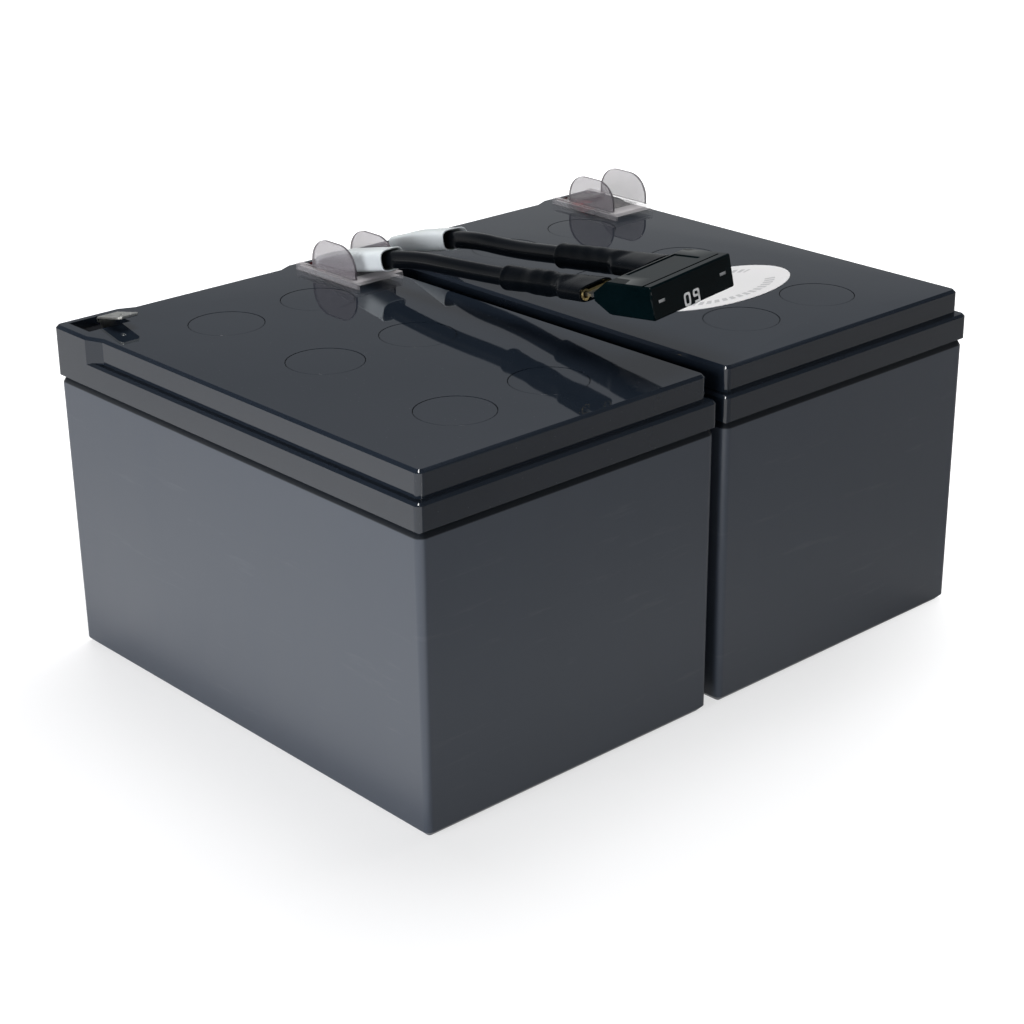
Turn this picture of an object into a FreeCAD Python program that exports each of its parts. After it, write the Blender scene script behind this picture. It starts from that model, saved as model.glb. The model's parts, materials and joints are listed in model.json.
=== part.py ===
"""24 V battery cartridge of an uninterruptible power supply, in millimetres.

Two 12 V sealed lead-acid blocks stand side by side, held by foam tape.  A pair of short leads
with a bolt-free blade fuse joins the positive tab of block a to the negative tab of block b.
X runs across the two blocks, +Y points to the terminal end, Z is up, and the origin is at the
middle of the footprint.  The block's own frame has its origin at the middle of its base.
"""
import FreeCAD, Part
import Sketcher
import math
import os

V = FreeCAD.Vector
Rotation = FreeCAD.Rotation
Placement = FreeCAD.Placement

# ---------------------------------------------------------------- driving dimensions
DIMENSIONS = {
    # block envelope
    "block_width": 98.0, "block_length": 151.0, "block_gap": 2.8,
    "lid_top": 94.0, "lid_shelf": 87.06, "flange_foot": 79.4, "lid_step": 2.05,
    "flange_bevel": 0.7, "lid_bevel": 0.8, "corner_round": 1.8,
    "groove_depth": 1.2, "groove_rise": 0.7, "lid_skin": 2.8, "lid_wall": 2.4,
    "step_start": 54.8, "step_end": 60.1, "step_reach": 20.0, "step_run": 4.5,
    # container
    "case_inset": 0.4, "case_draft_width": 0.9, "case_taper": 0.32, "shoulder_in": 0.8,
    "shoulder_drop": 1.4,
    "case_floor": 2.6, "case_wall": 2.2, "partition": 1.6, "case_round": 2.2, "base_chamfer": 1.6,
    # vents
    "vent_column": 15.3, "vent_front": -49.5, "vent_middle": 0.7, "vent_rear": 43.4,
    "cap_diameter": 20.3, "cap_recess_diameter": 20.7, "cap_thickness": 1.45, "cap_depth": 1.5,
    "duct_side": 3.0,
    # terminals
    "tab_offset": 36.4, "tab_leg_place": 68.3, "tab_width": 6.35, "tab_thickness": 0.8,
    "tab_leg_width": 4.6, "tab_length": 11.3, "tab_slope": 12.0, "tab_slope_b": 14.0,
    "tab_foot": 89.3, "tab_heel": 95.55, "tab_hole": 1.6,
    "pocket_inner": 32.6, "pocket_outer": 45.6, "pocket_front": 63.0, "pocket_back": 73.0,
    "pocket_floor": 89.0, "pocket_foot": 86.8, "seal_top": 91.6,
    "post_diameter": 5.4, "post_hole": 5.8, "strap_top": 75.0, "strap_foot": 71.0,
    # plate groups
    "plate_width": 43.0, "plate_foot": 4.0, "plate_top": 66.0, "positive_plate": 4.2,
    "negative_plate": 3.0, "separator_sheet": 2.8, "lug_width": 8.0, "lug_offset": 11.0,
    "strap_width": 10.0, "strap_overhang": 21.8, "cell_column": 23.4, "cell_row": 48.83,
    "window_depth": 2.4, "link_width": 8.0,
    # terminal cover
    "cover_width": 16.5, "cover_front": 41.8, "cover_back": 70.0, "cover_sheet": 1.0,
    "cover_level": 96.1, "ear_span": 13.8, "slot_half": 6.2, "slot_front": 47.0,
    "ear_sheet": 0.9, "ear_front": 44.0, "ear_back": 63.5, "ear_top": 105.0,
    "ear_round": 7.0,
    # foam tape and label
    "tape_length": 110.0, "tape_height": 18.0, "tape_foot_low": 14.0, "tape_foot_high": 50.0,
    "label_length": 55.0, "label_width": 27.2, "label_thickness": 0.12, "label_x": 50.2,
    "label_y": -25.7, "label_turn": 0.0,
    # leads and their fittings
    "lead_diameter": 5.0, "strand_diameter": 3.3, "strip_gap": 0.4, "lead_yaw": 4.5,
    "fitting_place": 2.9, "barrel_foot": 11.0, "barrel_end": 17.5, "barrel_diameter": 4.5,
    "neck_width": 3.2, "contact_length": 8.0, "contact_sheet": 0.6,
    "tab_roll_place": 2.75, "tab_roll": 2.1,
    "sleeve_start": -0.7, "sleeve_end": 27.5, "sleeve_width": 8.7, "sleeve_height": 6.2,
    "sleeve_bore_width": 7.6, "sleeve_bore_height": 5.5,
    "sleeve_nose_bore": 2.6, "sleeve_nose_height": 4.2,
    # blade fuse
    "fuse_x": -0.6, "fuse_y": -65.2, "fuse_z": 114.0, "fuse_yaw": -0.3, "fuse_pitch": -6.0,
    "fuse_roll": -7.3, "fuse_width": 28.75, "fuse_height": 21.0, "fuse_thickness": 8.76,
    "fuse_shoulder": 15.6, "fuse_nose": 2.2, "fuse_bevel": 0.4, "fuse_wall": 1.2,
    "blade_width": 8.0, "blade_offset": 9.85, "blade_end": 31.6, "blade_thickness": 0.8,
    "link_height": 5.5, "link_width_fuse": 2.4, "probe_width": 2.4, "probe_height": 0.9,
    "probe_offset": 10.9, "panel_depth": 0.25, "panel_groove": 0.7, "panel_left": -8.2,
    "panel_right": 9.4, "panel_front": 5.6, "panel_back": 15.0, "fuse_gap": 3.7,
    "blade_roll_place": 3.9, "blade_roll": 3.0, "blade_roll_bore": 1.9,
    # heat-shrink tubing
    "shrink_start": 0.9, "shrink_end": 34.3, "shrink_wall": 0.6, "shrink_bore": 5.3,
}

doc = FreeCAD.newDocument("battery_cartridge")
sheet = doc.addObject("Spreadsheet::Sheet", "Dims")
for line, (alias, value) in enumerate(DIMENSIONS.items(), start=1):
    sheet.set(f"A{line}", alias)
    sheet.set(f"B{line}", str(value))
    sheet.setAlias(f"B{line}", alias)
doc.recompute()


def dim(alias):
    """The sheet's present value of one alias."""
    return float(getattr(sheet, alias))


def terms(text):
    """Write a formula for the sheet: every alias in it gets the sheet's name."""
    words = text.replace("(", " ( ").replace(")", " ) ").split()
    text = " ".join(f"Dims.{word}" if word in DIMENSIONS else word for word in words)
    return text.replace("tan (", "tan(").replace("cos (", "cos(")


nodes = []


def node(item, placement=None):
    """Count a finished object as one sub-part, placed in the cartridge's frame."""
    if placement is not None:
        item.Placement = placement
    nodes.append(item)
    return item


# ---------------------------------------------------------------- sketch helpers
def start_body(label):
    """An empty body with its label."""
    body = doc.addObject("PartDesign::Body", label)
    body.Label = label
    return body


def start_sketch(body, name, level="0", role="XY_Plane"):
    """A sketch on one of the body's own planes, raised along its normal by a formula."""
    sketch = body.newObject("Sketcher::SketchObject", name)
    plane = next(f for f in body.Origin.OriginFeatures if f.Role == role)
    sketch.AttachmentSupport = [(plane, "")]
    sketch.MapMode = "FlatFace"
    sketch.setExpression("AttachmentOffset.Base.z", terms(level))
    return sketch


def fix(sketch, name, kind, where, formula):
    """Add one named dimension and bind it to a formula of the sheet."""
    value = sketch.evalExpression(terms(formula))
    value = float(getattr(value, "Value", value))
    index = sketch.addConstraint(Sketcher.Constraint(kind, *where, value))
    sketch.renameConstraint(index, name)
    sketch.setExpression(f"Constraints.{name}", terms(formula))


def tie(sketch, kind, *where):
    """Add one constraint that has no value."""
    sketch.addConstraint(Sketcher.Constraint(kind, *where))


def draw_rectangle(sketch, name, left, front, right, back):
    """A rectangle whose four sides are bound to formulas of the sheet."""
    values = [float(getattr(q, "Value", q)) for q in
              (sketch.evalExpression(terms(f)) for f in (left, front, right, back))]
    corners = [V(values[0], values[1]), V(values[2], values[1]),
               V(values[2], values[3]), V(values[0], values[3])]
    first = len(sketch.Geometry)
    for turn in range(4):
        sketch.addGeometry(Part.LineSegment(corners[turn], corners[(turn + 1) % 4]), False)
    for turn in range(4):
        tie(sketch, "Coincident", first + turn, 2, first + (turn + 1) % 4, 1)
    for turn, kind in enumerate(("Horizontal", "Vertical") * 2):
        tie(sketch, kind, first + turn)
    fix(sketch, f"{name}_left", "DistanceX", (-1, 1, first, 1), left)
    fix(sketch, f"{name}_front", "DistanceY", (-1, 1, first, 1), front)
    fix(sketch, f"{name}_right", "DistanceX", (-1, 1, first + 2, 1), right)
    fix(sketch, f"{name}_back", "DistanceY", (-1, 1, first + 2, 1), back)


def draw_circle(sketch, name, across, along, diameter):
    """A circle whose centre and diameter are bound to formulas of the sheet."""
    values = [float(getattr(q, "Value", q)) for q in
              (sketch.evalExpression(terms(f)) for f in (across, along, diameter))]
    index = sketch.addGeometry(
        Part.Circle(V(values[0], values[1]), V(0, 0, 1), values[2] / 2), False)
    fix(sketch, f"{name}_across", "DistanceX", (-1, 1, index, 3), across)
    fix(sketch, f"{name}_along", "DistanceY", (-1, 1, index, 3), along)
    fix(sketch, f"{name}_diameter", "Diameter", (index,), diameter)


def draw_polygon(sketch, name, points):
    """A closed outline whose corners are bound to pairs of formulas."""
    values = [tuple(float(getattr(q, "Value", q)) for q in
                    (sketch.evalExpression(terms(a)), sketch.evalExpression(terms(b))))
              for a, b in points]
    first = len(sketch.Geometry)
    count = len(points)
    for turn in range(count):
        sketch.addGeometry(Part.LineSegment(V(*values[turn]), V(*values[(turn + 1) % count])),
                           False)
    for turn in range(count):
        tie(sketch, "Coincident", first + turn, 2, first + (turn + 1) % count, 1)
    for turn, (across, along) in enumerate(points):
        fix(sketch, f"{name}_x{turn}", "DistanceX", (-1, 1, first + turn, 1), across)
        fix(sketch, f"{name}_y{turn}", "DistanceY", (-1, 1, first + turn, 1), along)


def rounded_corners(half_width, half_length, radius):
    """Formulas for a rectangle whose corner arcs are each drawn as three chords."""
    points = []
    for turn, (across, along) in enumerate(((1, 1), (-1, 1), (-1, -1), (1, -1))):
        for step in range(4):
            angle = math.radians(90 * turn + 30 * step)
            points.append((
                f"{across} * ( {half_width} - {radius} ) + {math.cos(angle):.6f} * {radius}",
                f"{along} * ( {half_length} - {radius} ) + {math.sin(angle):.6f} * {radius}"))
    return points


# ---------------------------------------------------------------- feature helpers
def pad(body, sketch, length, reverse=False, both=False):
    """Raise a sketch into a solid of the body, by a length that is a formula."""
    feature = body.newObject("PartDesign::Pad", sketch.Name + "_pad")
    feature.Profile = sketch
    feature.setExpression("Length", terms(length))
    feature.Reversed = reverse
    feature.Midplane = both
    doc.recompute()
    return feature


def pocket(body, sketch, length, reverse=False, both=False):
    """Cut a sketch into the body, and check that it does cut."""
    before = body.Shape.Volume
    feature = body.newObject("PartDesign::Pocket", sketch.Name + "_cut")
    feature.Profile = sketch
    feature.setExpression("Length", terms(length))
    feature.Reversed = reverse
    feature.Midplane = both
    doc.recompute()
    if not body.Shape.Volume < before - 1e-6:
        raise RuntimeError(f"{feature.Label} cuts nothing")
    return feature


def edges_where(shape, test):
    """Names of the edges whose bounding box passes a test."""
    return [f"Edge{i + 1}" for i, edge in enumerate(shape.Edges) if test(edge.BoundBox)]


def dress(body, kind, test, radius):
    """Fillet or chamfer the edges of the body's last feature that pass a test."""
    base = body.Tip
    names = edges_where(base.Shape, test)
    if not names:
        raise RuntimeError(f"no edge to dress on {body.Label}")
    feature = body.newObject(f"PartDesign::{kind}", f"{body.Name}_{kind}")
    feature.Base = (base, names)
    feature.setExpression("Radius" if kind == "Fillet" else "Size", terms(radius))
    doc.recompute()
    if not feature.Shape.isValid() or "Invalid" in feature.State:
        raise RuntimeError(f"{feature.Label} failed on {body.Label}")
    return feature


def is_level(height):
    """Test for edges that lie flat at one height."""
    def test(box):
        return abs(box.ZMin - height) < 0.01 and abs(box.ZMax - height) < 0.01
    return test


# ---------------------------------------------------------------- one sealed block
VENTS = [(side, row) for side in (-1, 1) for row in ("front", "middle", "rear")]
CELLS = [(side, row) for side in (-1, 1) for row in (-1, 0, 1)]
# the cells in series order: column, row, and the side of the cell that its positive strap is on
SERIES = [(-1, 1, 1), (-1, 0, -1), (-1, -1, 1), (1, -1, 1), (1, 0, -1), (1, 1, 1)]


def cell_bounds(side, row, wall):
    """Formulas for one cell's four sides: two columns across X and three rows along Y."""
    far = f"( block_width / 2 - {wall} )"
    end = f"( block_length / 2 - {wall} )"
    across = ["0 - " + far, "0 - partition / 2"] if side < 0 else ["partition / 2", far]
    third = f"( ( 2 * {end} - 2 * partition ) / 3 )"
    lows = {-1: f"0 - {end}", 0: f"0 - {third} / 2", 1: f"{third} / 2 + partition"}
    highs = {-1: f"0 - {third} / 2 - partition", 0: f"{third} / 2", 1: end}
    return across[0], lows[row], across[1], highs[row]


def make_container(tag):
    """Drafted case with six cells, a bevelled base and a shouldered rim."""
    body = start_body(f"container_{tag}")
    draft = "tan ( case_taper * 1 deg )"
    wall_height = "flange_foot - shoulder_drop - base_chamfer"
    lengths = (("case", "flange_foot - shoulder_drop", "case_inset", wall_height,
                "0 - case_taper", True),
               ("rim", "flange_foot - shoulder_drop", "case_inset", "shoulder_drop",
                "0 deg - atan ( shoulder_in / shoulder_drop )", False),
               ("foot", "base_chamfer", f"( case_inset + {draft} * ( {wall_height} ) )",
                "base_chamfer", "0 - 45", True))
    for name, level, inset, length, taper, down in lengths:
        plan = start_sketch(body, f"{name}_plan_{tag}", level)
        draw_polygon(plan, name, rounded_corners(f"( block_width / 2 - {inset} )",
                                                 f"( block_length / 2 - {inset} )",
                                                 "case_round"))
        feature = pad(body, plan, length, reverse=down)
        feature.setExpression("TaperAngle", terms(taper))
        doc.recompute()
    cells = start_sketch(body, f"cell_plan_{tag}", "flange_foot")
    for side, row in CELLS:
        draw_rectangle(cells, f"cell_{side + 1}_{row + 1}",
                       *cell_bounds(side, row, "( case_wall + case_inset + case_draft_width / 2 )"))
    pocket(body, cells, "flange_foot - case_floor")
    cut_weld_windows(body, tag)
    return node(body)


def cut_weld_windows(body, tag):
    """Openings in the partitions, which the welded links between the cells fill."""
    windows = start_sketch(body, f"weld_windows_{tag}", "strap_top")
    for count, (column, row, hand) in enumerate(SERIES[:-1]):
        if SERIES[count + 1][0] != column:
            draw_rectangle(windows, "centre", "0 - window_depth / 2",
                           f"{row} * cell_row - link_width / 2", "window_depth / 2",
                           f"{row} * cell_row + link_width / 2")
            continue
        line = f"{column} * cell_column + {hand} * lug_offset"
        between = f"{(row + SERIES[count + 1][1]) / 2} * cell_row"
        draw_rectangle(windows, f"link_{count}", f"{line} - strap_width / 2",
                       f"{between} - window_depth / 2", f"{line} + strap_width / 2",
                       f"{between} + window_depth / 2")
    pocket(body, windows, "strap_top - strap_foot")


def make_lid(tag):
    """Stepped lid: flange, raised deck with two terminal corners, vents and pockets."""
    body = start_body(f"lid_{tag}")
    flange = start_sketch(body, f"flange_plan_{tag}", "flange_foot")
    draw_rectangle(flange, "flange", "0 - block_width / 2", "0 - block_length / 2",
                   "block_width / 2", "block_length / 2")
    pad(body, flange, "lid_shelf - flange_foot")
    groove = dress(body, "Chamfer", is_level(dim("flange_foot")), "groove_depth")
    groove.ChamferType = "Two distances"
    groove.setExpression("Size", terms("groove_rise"))
    groove.setExpression("Size2", terms("groove_depth"))
    deck = start_sketch(body, f"deck_plan_{tag}", "lid_shelf")
    draw_polygon(deck, "deck", deck_outline())
    pad(body, deck, "lid_top - lid_shelf")
    dress(body, "Fillet", is_corner, "corner_round")
    dress(body, "Chamfer", is_flange_edge, "flange_bevel")
    dress(body, "Chamfer", is_level(dim("lid_top")), "lid_bevel")
    hollow_lid(body, tag)
    cut_vents(body, tag)
    cut_terminal_pockets(body, tag)
    return node(body)


def deck_outline():
    """The deck's corners: stepped in from the flange, but flush with it at both terminals."""
    side, end = "( block_width / 2 - lid_step )", "( block_length / 2 - lid_step )"
    flush_side, flush_end = "block_width / 2", "block_length / 2"
    right = [(side, f"0 - {end}"), (side, "step_start"), (flush_side, "step_end"),
             (flush_side, flush_end), ("block_width / 2 - step_reach", flush_end),
             ("block_width / 2 - step_reach - step_run", end)]
    left = [(f"0 - ( {across} )", along) for across, along in reversed(right)]
    return right + left


def is_corner(box):
    """Upright edges at the four corners of the flange and the deck."""
    return (box.ZLength > 5 and box.XLength < 0.01 and box.YLength < 0.01
            and abs(box.Center.x) > dim("block_width") / 2 - 2.2
            and abs(box.Center.y) > dim("block_length") / 2 - 2.2)


def is_flange_edge(box):
    """The flange's upper rim, but not the line where the deck stands on it."""
    side = abs(abs(box.Center.x) - dim("block_width") / 2) < 1
    end = abs(abs(box.Center.y) - dim("block_length") / 2) < 1
    return is_level(dim("lid_shelf"))(box) and (side or end)


def hollow_lid(body, tag):
    """Six cavities under the deck, and the bosses that carry the terminals."""
    cells = start_sketch(body, f"lid_cells_{tag}", "flange_foot")
    for side, row in CELLS:
        draw_rectangle(cells, f"cell_{side + 1}_{row + 1}",
                       *cell_bounds(side, row, "( lid_step + lid_wall )"))
    pocket(body, cells, "lid_top - lid_skin - flange_foot", reverse=True)
    cups = start_sketch(body, f"terminal_bosses_{tag}", "pocket_foot")
    draw_rectangle(cups, "left", "0 - pocket_outer - 1", "pocket_front - 2",
                   "2 - pocket_inner", "pocket_back + 0.4")
    draw_rectangle(cups, "right", "pocket_inner - 2", "pocket_front - 2",
                   "pocket_outer + 1", "pocket_back + 0.4")
    pad(body, cups, "lid_top - lid_skin - pocket_foot + 0.2")


def cut_vents(body, tag):
    """A shallow recess for each cap, and a square gas duct from it down into the cell."""
    add_discs(body, "Subtractive", f"vent_recess_{tag}", "cap_recess_diameter", "cap_depth",
              "lid_top - cap_depth")
    ducts = start_sketch(body, f"vent_ducts_{tag}", "lid_top")
    for side, row in VENTS:
        across, along = f"{side} * vent_column", f"vent_{row}"
        draw_rectangle(ducts, f"duct_{side + 1}_{row}", f"{across} - duct_side / 2",
                       f"{along} - duct_side / 2", f"{across} + duct_side / 2",
                       f"{along} + duct_side / 2")
    pocket(body, ducts, "lid_skin")


def add_discs(body, kind, name, diameter, thickness, level):
    """One disc at each vent, drawn with 32 sides, added to the body or cut from it."""
    for side, row in VENTS:
        disc = body.newObject(f"PartDesign::{kind}Prism", f"{name}_{side + 1}_{row}")
        disc.Polygon = 32
        disc.setExpression("Circumradius", terms(f"{diameter} / 2"))
        disc.setExpression("Height", terms(thickness))
        disc.setExpression("Placement.Base.x", terms(f"{side} * vent_column"))
        disc.setExpression("Placement.Base.y", terms(f"vent_{row}"))
        disc.setExpression("Placement.Base.z", terms(level))
        doc.recompute()


def cut_terminal_pockets(body, tag):
    """A pocket at each rear corner, and the hole that the lead post comes up through."""
    pockets = start_sketch(body, f"terminal_pockets_{tag}", "lid_top")
    draw_rectangle(pockets, "left", "0 - pocket_outer", "pocket_front", "0 - pocket_inner",
                   "pocket_back")
    draw_rectangle(pockets, "right", "pocket_inner", "pocket_front", "pocket_outer",
                   "pocket_back")
    pocket(body, pockets, "lid_top - pocket_floor")
    holes = start_sketch(body, f"post_holes_{tag}", "pocket_floor")
    for side in (-1, 1):
        draw_circle(holes, f"hole_{side + 1}", f"{side} * tab_offset", "tab_leg_place",
                    "post_hole")
    pocket(body, holes, "pocket_floor - pocket_foot")


# the two tabs that the jumper joins are turned a little towards each other
TAB_YAWS = {("a", -1): 0, ("a", 1): 1, ("b", -1): -1, ("b", 1): 0}


# ---------------------------------------------------------------- inside a block
def shape_node(label, shape):
    """A piece whose outline Part's own functions make, sized from the sheet."""
    item = doc.addObject("Part::Feature", label)
    item.Label = label
    item.Shape = shape
    return node(item)


def block_box(left, front, foot, width, length, height):
    """A box from its lowest corner and its three sizes."""
    return Part.makeBox(width, length, height, V(left, front, foot))


def stack_plates(kind):
    """Plates of one kind in all six cells: alternating sheets stacked along Y."""
    sheet_thickness = {"N": dim("negative_plate"), "P": dim("positive_plate"),
                       "S": dim("separator_sheet")}
    order = "SNSPSNSPSNSPSNS"
    depth = sum(sheet_thickness[letter] for letter in order)
    sheets = []
    for column, row, hand in SERIES:
        front = row * dim("cell_row") - depth / 2
        middle = column * dim("cell_column")
        lug = middle + (hand if kind == "P" else -hand) * dim("lug_offset")
        for letter in order:
            if letter == kind:
                sheets.append(make_plate(kind, middle, lug, front, sheet_thickness[kind]))
            front += sheet_thickness[letter]
    return Part.makeCompound(sheets)


def make_plate(kind, middle, lug, front, thickness):
    """One pasted plate with its lug, or one glass-mat separator, which stands taller."""
    half = dim("plate_width") / 2
    foot, top = dim("plate_foot"), dim("plate_top")
    if kind == "S":
        return block_box(middle - half - 0.8, front, foot - 1, 2 * half + 1.6, thickness,
                         top - foot + 3)
    lug_half = dim("lug_width") / 2
    outline = [V(middle - half, front, foot), V(middle + half, front, foot),
               V(middle + half, front, top), V(lug + lug_half, front, top),
               V(lug + lug_half, front, dim("strap_foot")),
               V(lug - lug_half, front, dim("strap_foot")), V(lug - lug_half, front, top),
               V(middle - half, front, top)]
    return flat_face(outline).extrude(V(0, thickness, 0))


def make_straps():
    """Cast lead straps: one at each end of the series, and five that link two cells."""
    half, over = dim("strap_width") / 2, dim("strap_overhang")
    foot, height = dim("strap_foot"), dim("strap_top") - dim("strap_foot")

    def bar(column, hand, low_row, high_row):
        line = column * dim("cell_column") + hand * dim("lug_offset")
        front = low_row * dim("cell_row") - over
        back = high_row * dim("cell_row") + over
        return block_box(line - half, front, foot, 2 * half, back - front, height)

    straps = [bar(SERIES[0][0], -SERIES[0][2], SERIES[0][1], SERIES[0][1])]
    for (column, row, hand), (next_column, next_row, next_hand) in zip(SERIES, SERIES[1:]):
        if column == next_column:
            straps.append(bar(column, hand, min(row, next_row), max(row, next_row)))
            continue
        bridge = block_box(-dim("cell_column") + dim("lug_offset"),
                           row * dim("cell_row") - dim("link_width") / 2, foot,
                           2 * (dim("cell_column") - dim("lug_offset")), dim("link_width"),
                           height)
        ends = bar(column, hand, row, row).fuse(bar(next_column, -next_hand, row, row))
        straps.append(ends.fuse(bridge).removeSplitter())
    straps.append(bar(SERIES[-1][0], SERIES[-1][2], SERIES[-1][1], SERIES[-1][1]))
    return Part.makeCompound(straps)


def make_vent_caps(tag):
    """Six flush discs, welded into the recesses over the valves."""
    body = start_body(f"vent_caps_{tag}")
    body.AllowCompound = True
    add_discs(body, "Additive", f"cap_{tag}", "cap_diameter", "cap_thickness",
              "lid_top - cap_depth")
    return node(body)


def make_posts():
    """Lead posts that rise from the two end straps into the terminal pockets."""
    return Part.makeCompound([
        Part.makeCylinder(dim("post_diameter") / 2, dim("tab_foot") - dim("strap_top"),
                          V(side * dim("tab_offset"), dim("tab_leg_place"), dim("strap_top")))
        for side in (-1, 1)])


def make_tab(side, label, yaw, slope):
    """Tinned brass tab: a narrow leg on the post, bent over into a blade that slopes up."""
    body = start_body(label)
    profile = start_sketch(body, f"{label}_profile", "0", "YZ_Plane")
    rise = f"tab_length * tan ( {slope} * 1 deg )"
    lift = f"tab_thickness / cos ( {slope} * 1 deg )"
    draw_polygon(profile, "profile", [
        ("0", "tab_foot"), ("0", "tab_heel"),
        ("0 - tab_length", f"tab_heel + {rise}"),
        ("0 - tab_length", f"tab_heel + {rise} - {lift}"),
        ("0 - tab_thickness", f"tab_heel - {lift} + tab_thickness * tan ( {slope} * 1 deg )"),
        ("0 - tab_thickness", "tab_foot")])
    pad(body, profile, "tab_width", both=True)
    waist = start_sketch(body, f"{label}_waist", "0", "XZ_Plane")
    for hand in (-1, 1):
        inner, outer = f"{hand} * tab_leg_width / 2", f"{hand} * ( tab_width / 2 + 1 )"
        low, high = (inner, outer) if hand > 0 else (outer, inner)
        draw_rectangle(waist, f"side_{hand + 1}", low, "tab_foot - 1", high,
                       "tab_heel - 2 * tab_thickness")
    pocket(body, waist, "6", both=True)
    hole = start_sketch(body, f"{label}_hole", "tab_heel - 4")
    draw_circle(hole, "hole", "0", "0 - tab_length + 3.6", "tab_hole")
    pocket(body, hole, "12", reverse=True)
    dress(body, "Fillet", is_heel, "tab_thickness")
    dress(body, "Chamfer", is_tab_tip, "tab_thickness")
    leg = Placement(V(side * dim("tab_offset"), dim("tab_leg_place"), 0), Rotation(yaw, 0, 0))
    return node(body, leg.multiply(Placement(V(0, dim("tab_thickness") / 2, 0), Rotation())))


def is_heel(box):
    """The outer edge of the bend, where the tab's leg turns into its blade."""
    return (box.XLength > dim("tab_width") - 0.01 and abs(box.YMax) < 0.01
            and abs(box.ZMax - dim("tab_heel")) < 0.01)


def is_tab_tip(box):
    """The two short edges at the free end of the tab's blade."""
    return (abs(box.YMax + dim("tab_length")) < 0.01 and box.XLength < 0.01
            and box.ZLength > 0.1)


def make_seal(side, label, yaw):
    """Cast resin that fills the pocket round the tab's leg and the top of the post."""
    half, depth = dim("tab_leg_width") / 2, dim("tab_thickness")
    inner, outer = sorted((side * dim("pocket_inner"), side * dim("pocket_outer")))
    fill = block_box(inner, dim("pocket_front"), dim("pocket_floor"), outer - inner,
                     dim("pocket_back") - dim("pocket_front"),
                     dim("seal_top") - dim("pocket_floor"))
    place = V(side * dim("tab_offset"), dim("tab_leg_place"), 0)
    leg = block_box(-half, -depth / 2, dim("pocket_floor"), 2 * half, depth, 20)
    leg.Placement = Placement(place, Rotation(yaw, 0, 0)).multiply(leg.Placement)
    post = Part.makeCylinder(dim("post_diameter") / 2, dim("tab_foot") - dim("pocket_floor"),
                             V(place.x, place.y, dim("pocket_floor")))
    return shape_node(label, fill.cut(leg).cut(post))


def make_block(tag):
    """All the pieces of one sealed block, in its own frame."""
    make_container(tag)
    make_lid(tag)
    make_vent_caps(tag)
    shape_node(f"positive_plates_{tag}", stack_plates("P"))
    shape_node(f"negative_plates_{tag}", stack_plates("N"))
    shape_node(f"separators_{tag}", stack_plates("S"))
    shape_node(f"cell_straps_{tag}", make_straps())
    shape_node(f"terminal_posts_{tag}", make_posts())
    for polarity, side in (("negative", -1), ("positive", 1)):
        yaw = TAB_YAWS[tag, side] * dim("lead_yaw")
        slope = "tab_slope_b" if (tag, side) == ("b", -1) else "tab_slope"
        make_tab(side, f"{polarity}_tab_{tag}", yaw, slope)
        make_seal(side, f"{polarity}_seal_{tag}", yaw)
    make_cover(tag)


# ---------------------------------------------------------------- terminal cover
def make_cover(tag):
    """Clear moulded guard over a positive tab: a slotted plate with two round-topped ears."""
    body = start_body(f"terminal_cover_{tag}")
    plan = start_sketch(body, f"cover_plan_{tag}", "cover_level")
    half, slot = "cover_width / 2", "slot_half"
    draw_polygon(plan, "plan", [
        (f"0 - {half}", "cover_front"), (half, "cover_front"), (half, "cover_back"),
        (slot, "cover_back"), (slot, "slot_front"),
        (f"0 - ( {slot} )", "slot_front"), (f"0 - ( {slot} )", "cover_back"),
        (f"0 - {half}", "cover_back")])
    pad(body, plan, "cover_sheet", reverse=True)
    skirt = start_sketch(body, f"cover_skirt_{tag}", "cover_level - cover_sheet")
    for name, low, high in (("left", f"0 - {half}", f"0 - {half} + ear_sheet"),
                            ("right", f"{half} - ear_sheet", half)):
        draw_rectangle(skirt, name, low, "cover_front", high, "cover_back")
    pad(body, skirt, "cover_level - cover_sheet - lid_top", reverse=True)
    for hand in (-1, 1):
        ear = start_sketch(body, f"ear_{hand + 1}_{tag}",
                           f"{hand} * ear_span / 2 - ear_sheet / 2", "YZ_Plane")
        draw_rectangle(ear, "ear", "ear_front", "cover_level - cover_sheet / 2", "ear_back",
                       "ear_top")
        pad(body, ear, "ear_sheet")
    dress(body, "Fillet", is_ear_top, "ear_round")
    return node(body, Placement(V(dim("tab_offset"), 0, 0), Rotation()))


def is_ear_top(box):
    """The two upper corners of an ear."""
    return box.ZMin > dim("ear_top") - 0.01 and box.YLength < 0.01


# ---------------------------------------------------------------- leads and their fittings
def rounded_outline(station, width, height, radius):
    """Corners of a rounded rectangle across the Z axis; each arc is drawn as three chords."""
    x, y = width / 2 - radius, height / 2 - radius
    corners = []
    for turn, (cx, cy) in enumerate(((x, y), (-x, y), (-x, -y), (x, -y))):
        for step in range(4):
            angle = math.radians(90 * turn + 30 * step)
            corners.append(V(cx + radius * math.cos(angle), cy + radius * math.sin(angle),
                             station))
    return corners


def flat_face(corners):
    """A flat face inside a closed run of corners."""
    return Part.Face(Part.makePolygon(corners + corners[:1]))


def loft(stations):
    """A solid through rounded rectangles: station, width, height and corner radius.

    Like chords of every outline are parallel, so each side between two outlines is flat.
    """
    rings = [rounded_outline(*station) for station in stations]
    faces = [flat_face(rings[0]), flat_face(rings[-1])]
    for near, far in zip(rings, rings[1:]):
        for turn in range(len(near)):
            after = (turn + 1) % len(near)
            faces.append(flat_face([near[turn], near[after], far[after], far[turn]]))
    return Part.makeSolid(Part.makeShell(faces))


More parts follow.
